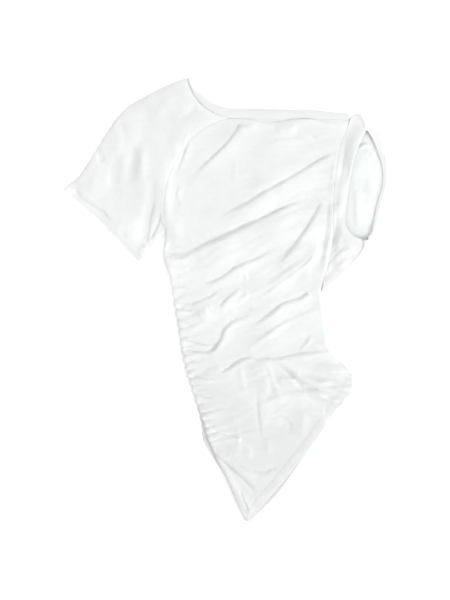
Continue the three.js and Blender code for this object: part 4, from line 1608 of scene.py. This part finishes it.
@dataclass
class DroppedSleeve(Piece):
    """The dropped sleeve: a flattened tube whose mouth stands open."""

    name: str = "dropped_sleeve_cloth"
    node: str = "dropped_sleeve"
    hand: Hand = Hand.DRAPED
    flat: tuple[float, float] = (0.09, 0.46)
    area: float | None = 0.034
    stitches: str = "mouth_stitches"
    rows: int = 64
    columns: int = 150
    turn_steps: int = 8
    curl_from: float = 0.46
    curl_to: float = 0.9
    curl_sooner: float = 0.32
    fold_reach: float = 0.6
    hem_share: float = 0.6
    swell_rise: float = 0.8
    inner_swell_rise: float = 0.25
    sewn: tuple[int, int] = (200, 60)
    # the body's section that each station starts from, its hem on the front, the bend that the back takes
    # past the hem, and its hem on the back
    mouth: Table = (
        (0, 251.5, 300.5, 8.5, 247, 352, 258, 303.5, 6.5),
        (1, 245.5, 290.5, 12, 296, 318, 266, 290, 5.0),
        (2.2, 236.5, 270, 12.5, 314, 283, 275, 268, 3.6),
        (3.8, 228, 241, 11, 318, 254, 283, 243, 2.6),
        (5.4, 222.5, 204, 8.5, 312, 216, 284.5, 210, 2.2),
        (6.8, 217, 165, 7.5, 306, 180, 275, 176, 2.2),
        (7.8, 216, 137, 9, 298, 154, 269.5, 148, 3.0),
        (8.8, 227, 118.5, 10, 290, 134, 266.5, 131, 5),
        (9.5, 240.5, 111, 10, 280, 115, 264, 121, 5),
        (10, 246, 110, 9.5, 262, 88, 257.5, 114, 5.5),
    )
    inside: tuple[Fold, ...] = (
        Roll(((238, 200), (238, 170), (240, 132)), 2.4, 5, 16, (0.25, 0.1)),
        Roll(((264, 275), (253, 279), (242, 275)), 3.0, 3, 3),
        Roll(((268, 258), (263, 268), (250, 270)), 2.6, 3, 4),
        Roll(((262, 236), (262, 200), (256, 160)), 1.2, 8, 8),
    )
    folds: tuple[Fold, ...] = (
        Roll(((229, 316), (222, 290), (214, 262)), 1.2, 8, 9),
        Roll(((218, 300), (214, 252), (210, 206)), -2.2, 8, 12),
        Roll(((224, 226), (212, 190), (206, 150)), 1.4, 12, 8),
        Roll(((214, 150), (205, 118), (199, 84)), 1.6, 9, 7),
        Roll(((230, 92), (216, 88), (204, 84)), 2.0, 4, 5),
        Roll(((226, 76), (212, 66), (199, 58)), 1.8, 5, 6),
        Roll(((206, 120), (202, 84), (196, 40)), 1.0, 6, 7),
    )

    @property
    def last(self) -> int:
        """The number of the last station."""
        return len(self.mouth) - 1

    def at_fold(self, station: np.ndarray) -> np.ndarray:
        """How much a station shares the bend of the fold between the two layers, 1 at either end."""
        return bell(np.minimum(station, self.last - station), self.fold_reach)

    def seam(self, station: np.ndarray) -> np.ndarray:
        """Where a station starts on the armhole seam."""
        section = along_rows(self.mouth, station)[..., 0]
        return BODY.point(section, np.ones_like(section))

    def plan(self, station: np.ndarray, out: np.ndarray, is_front: bool) -> np.ndarray:
        """The curve that a station takes over the floor, seen from above.

        Args:
            station: Station numbers, from the shoulder to the underarm.
            out: 0 at the armhole seam to 1 at the hem.
            is_front: Whether the point is on the front layer.

        Returns:
            x and y on the last axis.
        """
        station, out = np.broadcast_arrays(station, out)
        row = along_rows(self.mouth, station)
        seam = self.seam(station)
        hem = row[..., 1:3] if is_front else row[..., 6:8]
        bend = row[..., 4:6]
        if is_front:
            bend = mix(bend, (seam + hem) / 2.0, 1.0 - self.at_fold(station)[..., None])
        t = out[..., None]
        point = (1.0 - t) ** 2 * seam + 2.0 * t * (1.0 - t) * bend + t**2 * hem
        point[..., 0] += MAKE.seam_inset * (1.0 - out)
        return point

    def front(self, station: np.ndarray, out: np.ndarray) -> np.ndarray:
        """The sleeve's front layer, which climbs to the hem of the mouth.

        Args:
            station: Station numbers.
            out: 0 at the armhole seam to 1 at the hem.

        Returns:
            x, y and z on the last axis.
        """
        station, out = np.broadcast_arrays(np.asarray(station, float), np.asarray(out, float))
        xy = self.plan(station, out, True)
        x, y = xy[..., 0], xy[..., 1]
        row = along_rows(self.mouth, station)
        seam = self.seam(station)
        at_seam = RELIEF.body(row[..., 0], np.ones_like(out), seam[..., 0], seam[..., 1])
        wide = np.linalg.norm(row[..., 1:3] - seam, axis=-1)
        height = mix(at_seam, row[..., 3] - MAKE.front_middle, smooth(out, 0.05, 0.95))
        lying = window(out, 0.0, 0.4, 0.75, 1.0)
        for fold in self.folds:
            height = height + lying * fold.lift(x, y)
        height = height + lying * self.swell_rise * RELIEF.cloud.at(x / 14.0, y / 24.0)
        return MAKE.on_back(x, y, height + self.hem_share * hem_band((1.0 - out) * wide))

    def back(self, station: np.ndarray, out: np.ndarray) -> np.ndarray:
        """The sleeve's back layer, which lies flat and curls up and in at its hem.

        Args:
            station: Station numbers.
            out: 0 at the armhole seam to 1 at the hem.

        Returns:
            x, y and z on the last axis.
        """
        station, out = np.broadcast_arrays(np.asarray(station, float), np.asarray(out, float))
        xy = self.plan(station, out, False)
        x, y = xy[..., 0], xy[..., 1]
        hem = along_rows(self.mouth, station)[..., 8]
        curls_from = self.curl_from - self.curl_sooner * self.at_fold(station)
        height = mix(MAKE.back_middle, hem, smooth(out, curls_from, self.curl_to))
        lying = window(out, 0.08, 0.2, 0.5, 0.7)
        for fold in self.inside:
            height = height + lying * fold.lift(x, y)
        height = height + lying * self.inner_swell_rise * np.abs(RELIEF.cloud.at(x / 16.0, y / 28.0))
        return np.stack([x, y, height], -1)

    def stitch_lines(self) -> list[SewingRow]:
        """The rows of stitches along the mouth's hem, on the front layer and inside the back layer.

        Returns:
            For each row its points on the cloth's face, and the normals there.
        """
        lines = []
        for layer, first, last in ((self.front, 0.9, 8.2), (self.back, 1.0, 8.0)):
            station = np.linspace(first, last, self.sewn[0])
            out = np.linspace(0.3, 1.0, self.sewn[1])
            inwards = layer(station[:, None], out[None, :])[:, ::-1]
            step = np.linalg.norm(np.diff(inwards, axis=1), axis=2)
            inside = np.concatenate([np.zeros((len(station), 1)), np.cumsum(step, 1)], 1)
            lines += hem_rows(partial(layer, station), inside, out[::-1], -0.02)
        return lines

    def wall(self) -> ClothWall:
        """Shapes the sleeve as a ring of two layers and the turns between them.

        Returns:
            Its wall of cloth.
        """
        out = np.linspace(0.0, 1.0, self.rows)[:, None]
        stations = np.linspace(0.05, self.last - 0.1, self.columns)[None, :]
        over = self.front(stations, out)
        under = self.back(stations[:, ::-1], out)
        at_underarm = turn(over[:, -1], under[:, 0], level(over[:, -1] - over[:, -9]), self.turn_steps)
        at_shoulder = turn(under[:, -1], over[:, 0], level(over[:, 0] - over[:, 8]), self.turn_steps)
        ring = np.concatenate([over, at_underarm, under, at_shoulder], 1)
        return ClothWall(ring, MAKE.jersey, is_tube=True)


@dataclass
class Neckband(Piece):
    """The rib neckband, folded double along the neckline. Its first stretch is sewn to the raglan sleeve."""

    sleeve: RaglanSleeve = field(kw_only=True)
    name: str = "neckband_rib"
    node: str = "neckband"
    hand: Hand = Hand.FOLDED
    flat: tuple[float, float] = (0.034, 0.36)
    slot: Slot = Slot.RIB
    rows: int = 14
    columns: int = 260
    turn_steps: int = 8
    on_sleeve: float = 0.38
    ends: tuple[float, float] = (0.008, 0.993)
    crown: float = 1.3
    uneven: float = 0.35

    def seam(self, share: np.ndarray) -> np.ndarray:
        """The neck seam.

        Args:
            share: 0 at the raglan shoulder to 1 at the dropped shoulder.

        Returns:
            x and y on the last axis.
        """
        first = self.sleeve.point(np.zeros_like(share), np.minimum(share / self.on_sleeve, 1.0))
        rest = np.maximum(share - self.on_sleeve, 0.0) / (1.0 - self.on_sleeve)
        return np.where((share < self.on_sleeve)[..., None], first, BODY.point(np.zeros_like(share), rest))

    def point(self, share: np.ndarray, out: np.ndarray) -> np.ndarray:
        """A point of the band, seen from above.

        Args:
            share: 0 at the raglan shoulder to 1 at the dropped shoulder.
            out: 0 at the neck seam to 1 at the free edge.

        Returns:
            x and y on the last axis.
        """
        share, out = np.broadcast_arrays(share, out)
        along = self.seam(np.clip(share + 0.06, 0.0, 1.0)) - self.seam(np.clip(share - 0.06, 0.0, 1.0))
        upwards = unit(np.stack([-along[..., 1], along[..., 0]], -1))
        width = MAKE.neckband_width * (0.35 + 0.65 * smooth(share, 0.0, 0.22))
        width = width * (1.0 - 0.3 * smooth(share, 0.8, 1.0))
        reach = MAKE.seam_inset + out * (width - MAKE.seam_inset)
        return self.seam(share) + upwards * reach[..., None]

    def wall(self) -> ClothWall:
        """Shapes the band as a ring of two layers and the turns between them.

        Returns:
            Its wall of cloth.
        """
        out = np.linspace(0.0, 1.0, self.rows)[:, None]
        low = MAKE.rib / 2.0
        high = low + MAKE.rib + 2.0 * MAKE.layer_gap
        share = np.linspace(*self.ends, self.columns)[None, :]
        xy = self.point(share, out)
        crown = self.crown * np.sin(math.pi * np.clip(out, 0.0, 1.0)) ** 0.7
        uneven = self.uneven * RELIEF.cloud.at(share * 18.0, out * 1.3)
        z = np.broadcast_to(high + crown + uneven, xy.shape[:-1])
        over = np.concatenate([xy, z[..., None]], -1)
        under = np.concatenate([xy[:, ::-1], np.full((*xy.shape[:-1], 1), low)], -1)
        at_end = turn(over[:, -1], under[:, 0], level(over[:, -1] - over[:, -3]), self.turn_steps)
        at_start = turn(under[:, -1], over[:, 0], level(over[:, 0] - over[:, 2]), self.turn_steps)
        ring = np.concatenate([over, at_end, under, at_start], 1)
        return ClothWall(ring, MAKE.rib, is_tube=True)


# ------------------------------------------------------------------------------------------ studio
@dataclass(frozen=True)
class Studio:
    """A pale floor, a large soft lamp on one side, light from all round, and the camera overhead."""

    floor_reach: float = 4.0
    camera_height: float = 2.55
    lens: float = 85.0
    sensor: float = 36.0
    lamp_size: float = 2.8
    lamp_distance: float = 7.0
    lamp_azimuth: float = -18.0
    lamp_elevation: float = 32.0
    lamp_power: float = 245.0
    sky: float = 0.9
    clip_end: float = 50.0

    def floor(self) -> bpy.types.Object:
        """Lays the floor just under the garment.

        Returns:
            The floor.
        """
        reach = self.floor_reach
        corners = [(-reach, -reach, 0.0), (reach, -reach, 0.0), (reach, reach, 0.0), (-reach, reach, 0.0)]
        mesh = bpy.data.meshes.new(FLOOR_NAME)
        mesh.from_pydata(corners, [], [(0, 1, 2, 3)])
        mesh.materials.append(FLOOR.material())
        made = bpy.data.objects.new(FLOOR_NAME, mesh)
        bpy.context.scene.collection.objects.link(made)
        return made

    def lamp(self) -> bpy.types.Object:
        """Hangs the soft lamp beside the garment.

        Returns:
            The lamp.
        """
        light = bpy.data.lights.new("side_lamp", "AREA")
        light.shape = "DISK"
        light.size = self.lamp_size
        light.energy = self.lamp_power
        made = bpy.data.objects.new("side_lamp", light)
        azimuth, elevation = math.radians(self.lamp_azimuth), math.radians(self.lamp_elevation)
        level_reach = self.lamp_distance * math.cos(elevation)
        made.location = (
            level_reach * math.cos(azimuth),
            level_reach * math.sin(azimuth),
            self.lamp_distance * math.sin(elevation),
        )
        made.rotation_euler = (0.0, math.radians(90.0) - elevation, azimuth)
        bpy.context.scene.collection.objects.link(made)
        return made

    def daylight(self) -> None:
        """Lights the garment softly from all round."""
        world = bpy.data.worlds.new("soft_daylight")
        world.use_nodes = True
        background = world.node_tree.nodes["Background"]
        background.inputs["Color"].default_value = (1.0, 1.0, 1.0, 1.0)
        background.inputs["Strength"].default_value = self.sky
        bpy.context.scene.world = world

    def camera(self) -> bpy.types.Object:
        """Stands the camera straight above the garment.

        Returns:
            The camera.
        """
        data = bpy.data.cameras.new("overhead")
        data.lens = self.lens
        data.sensor_width = self.sensor
        data.clip_end = self.clip_end
        made = bpy.data.objects.new("overhead", data)
        made.location = (0.0, 0.0, self.camera_height)
        bpy.context.scene.collection.objects.link(made)
        bpy.context.scene.camera = made
        return made

    def build(self) -> None:
        """Sets up the whole studio."""
        self.camera()
        self.floor()
        self.lamp()
        self.daylight()
        bpy.context.scene.view_settings.view_transform = "Standard"
        log.info("studio: floor, lamp, daylight and camera")


def main() -> None:
    """Builds the studio, and then the garment in it piece by piece."""
    logging.basicConfig(level=logging.INFO, format="%(name)s: %(message)s")
    Studio().build()
    jersey, rib, thread = JERSEY.material(), RIB.material(), THREAD.material()
    sleeve = RaglanSleeve(jersey)
    band = Neckband(rib, sleeve=sleeve)
    for piece in (BackPanel(jersey), FrontPanel(jersey), sleeve, DroppedSleeve(jersey), band):
        made = piece.make(thread)
        log.info("%s stands for %s", made.name, piece.node)


if __name__ == "__main__":
    main()
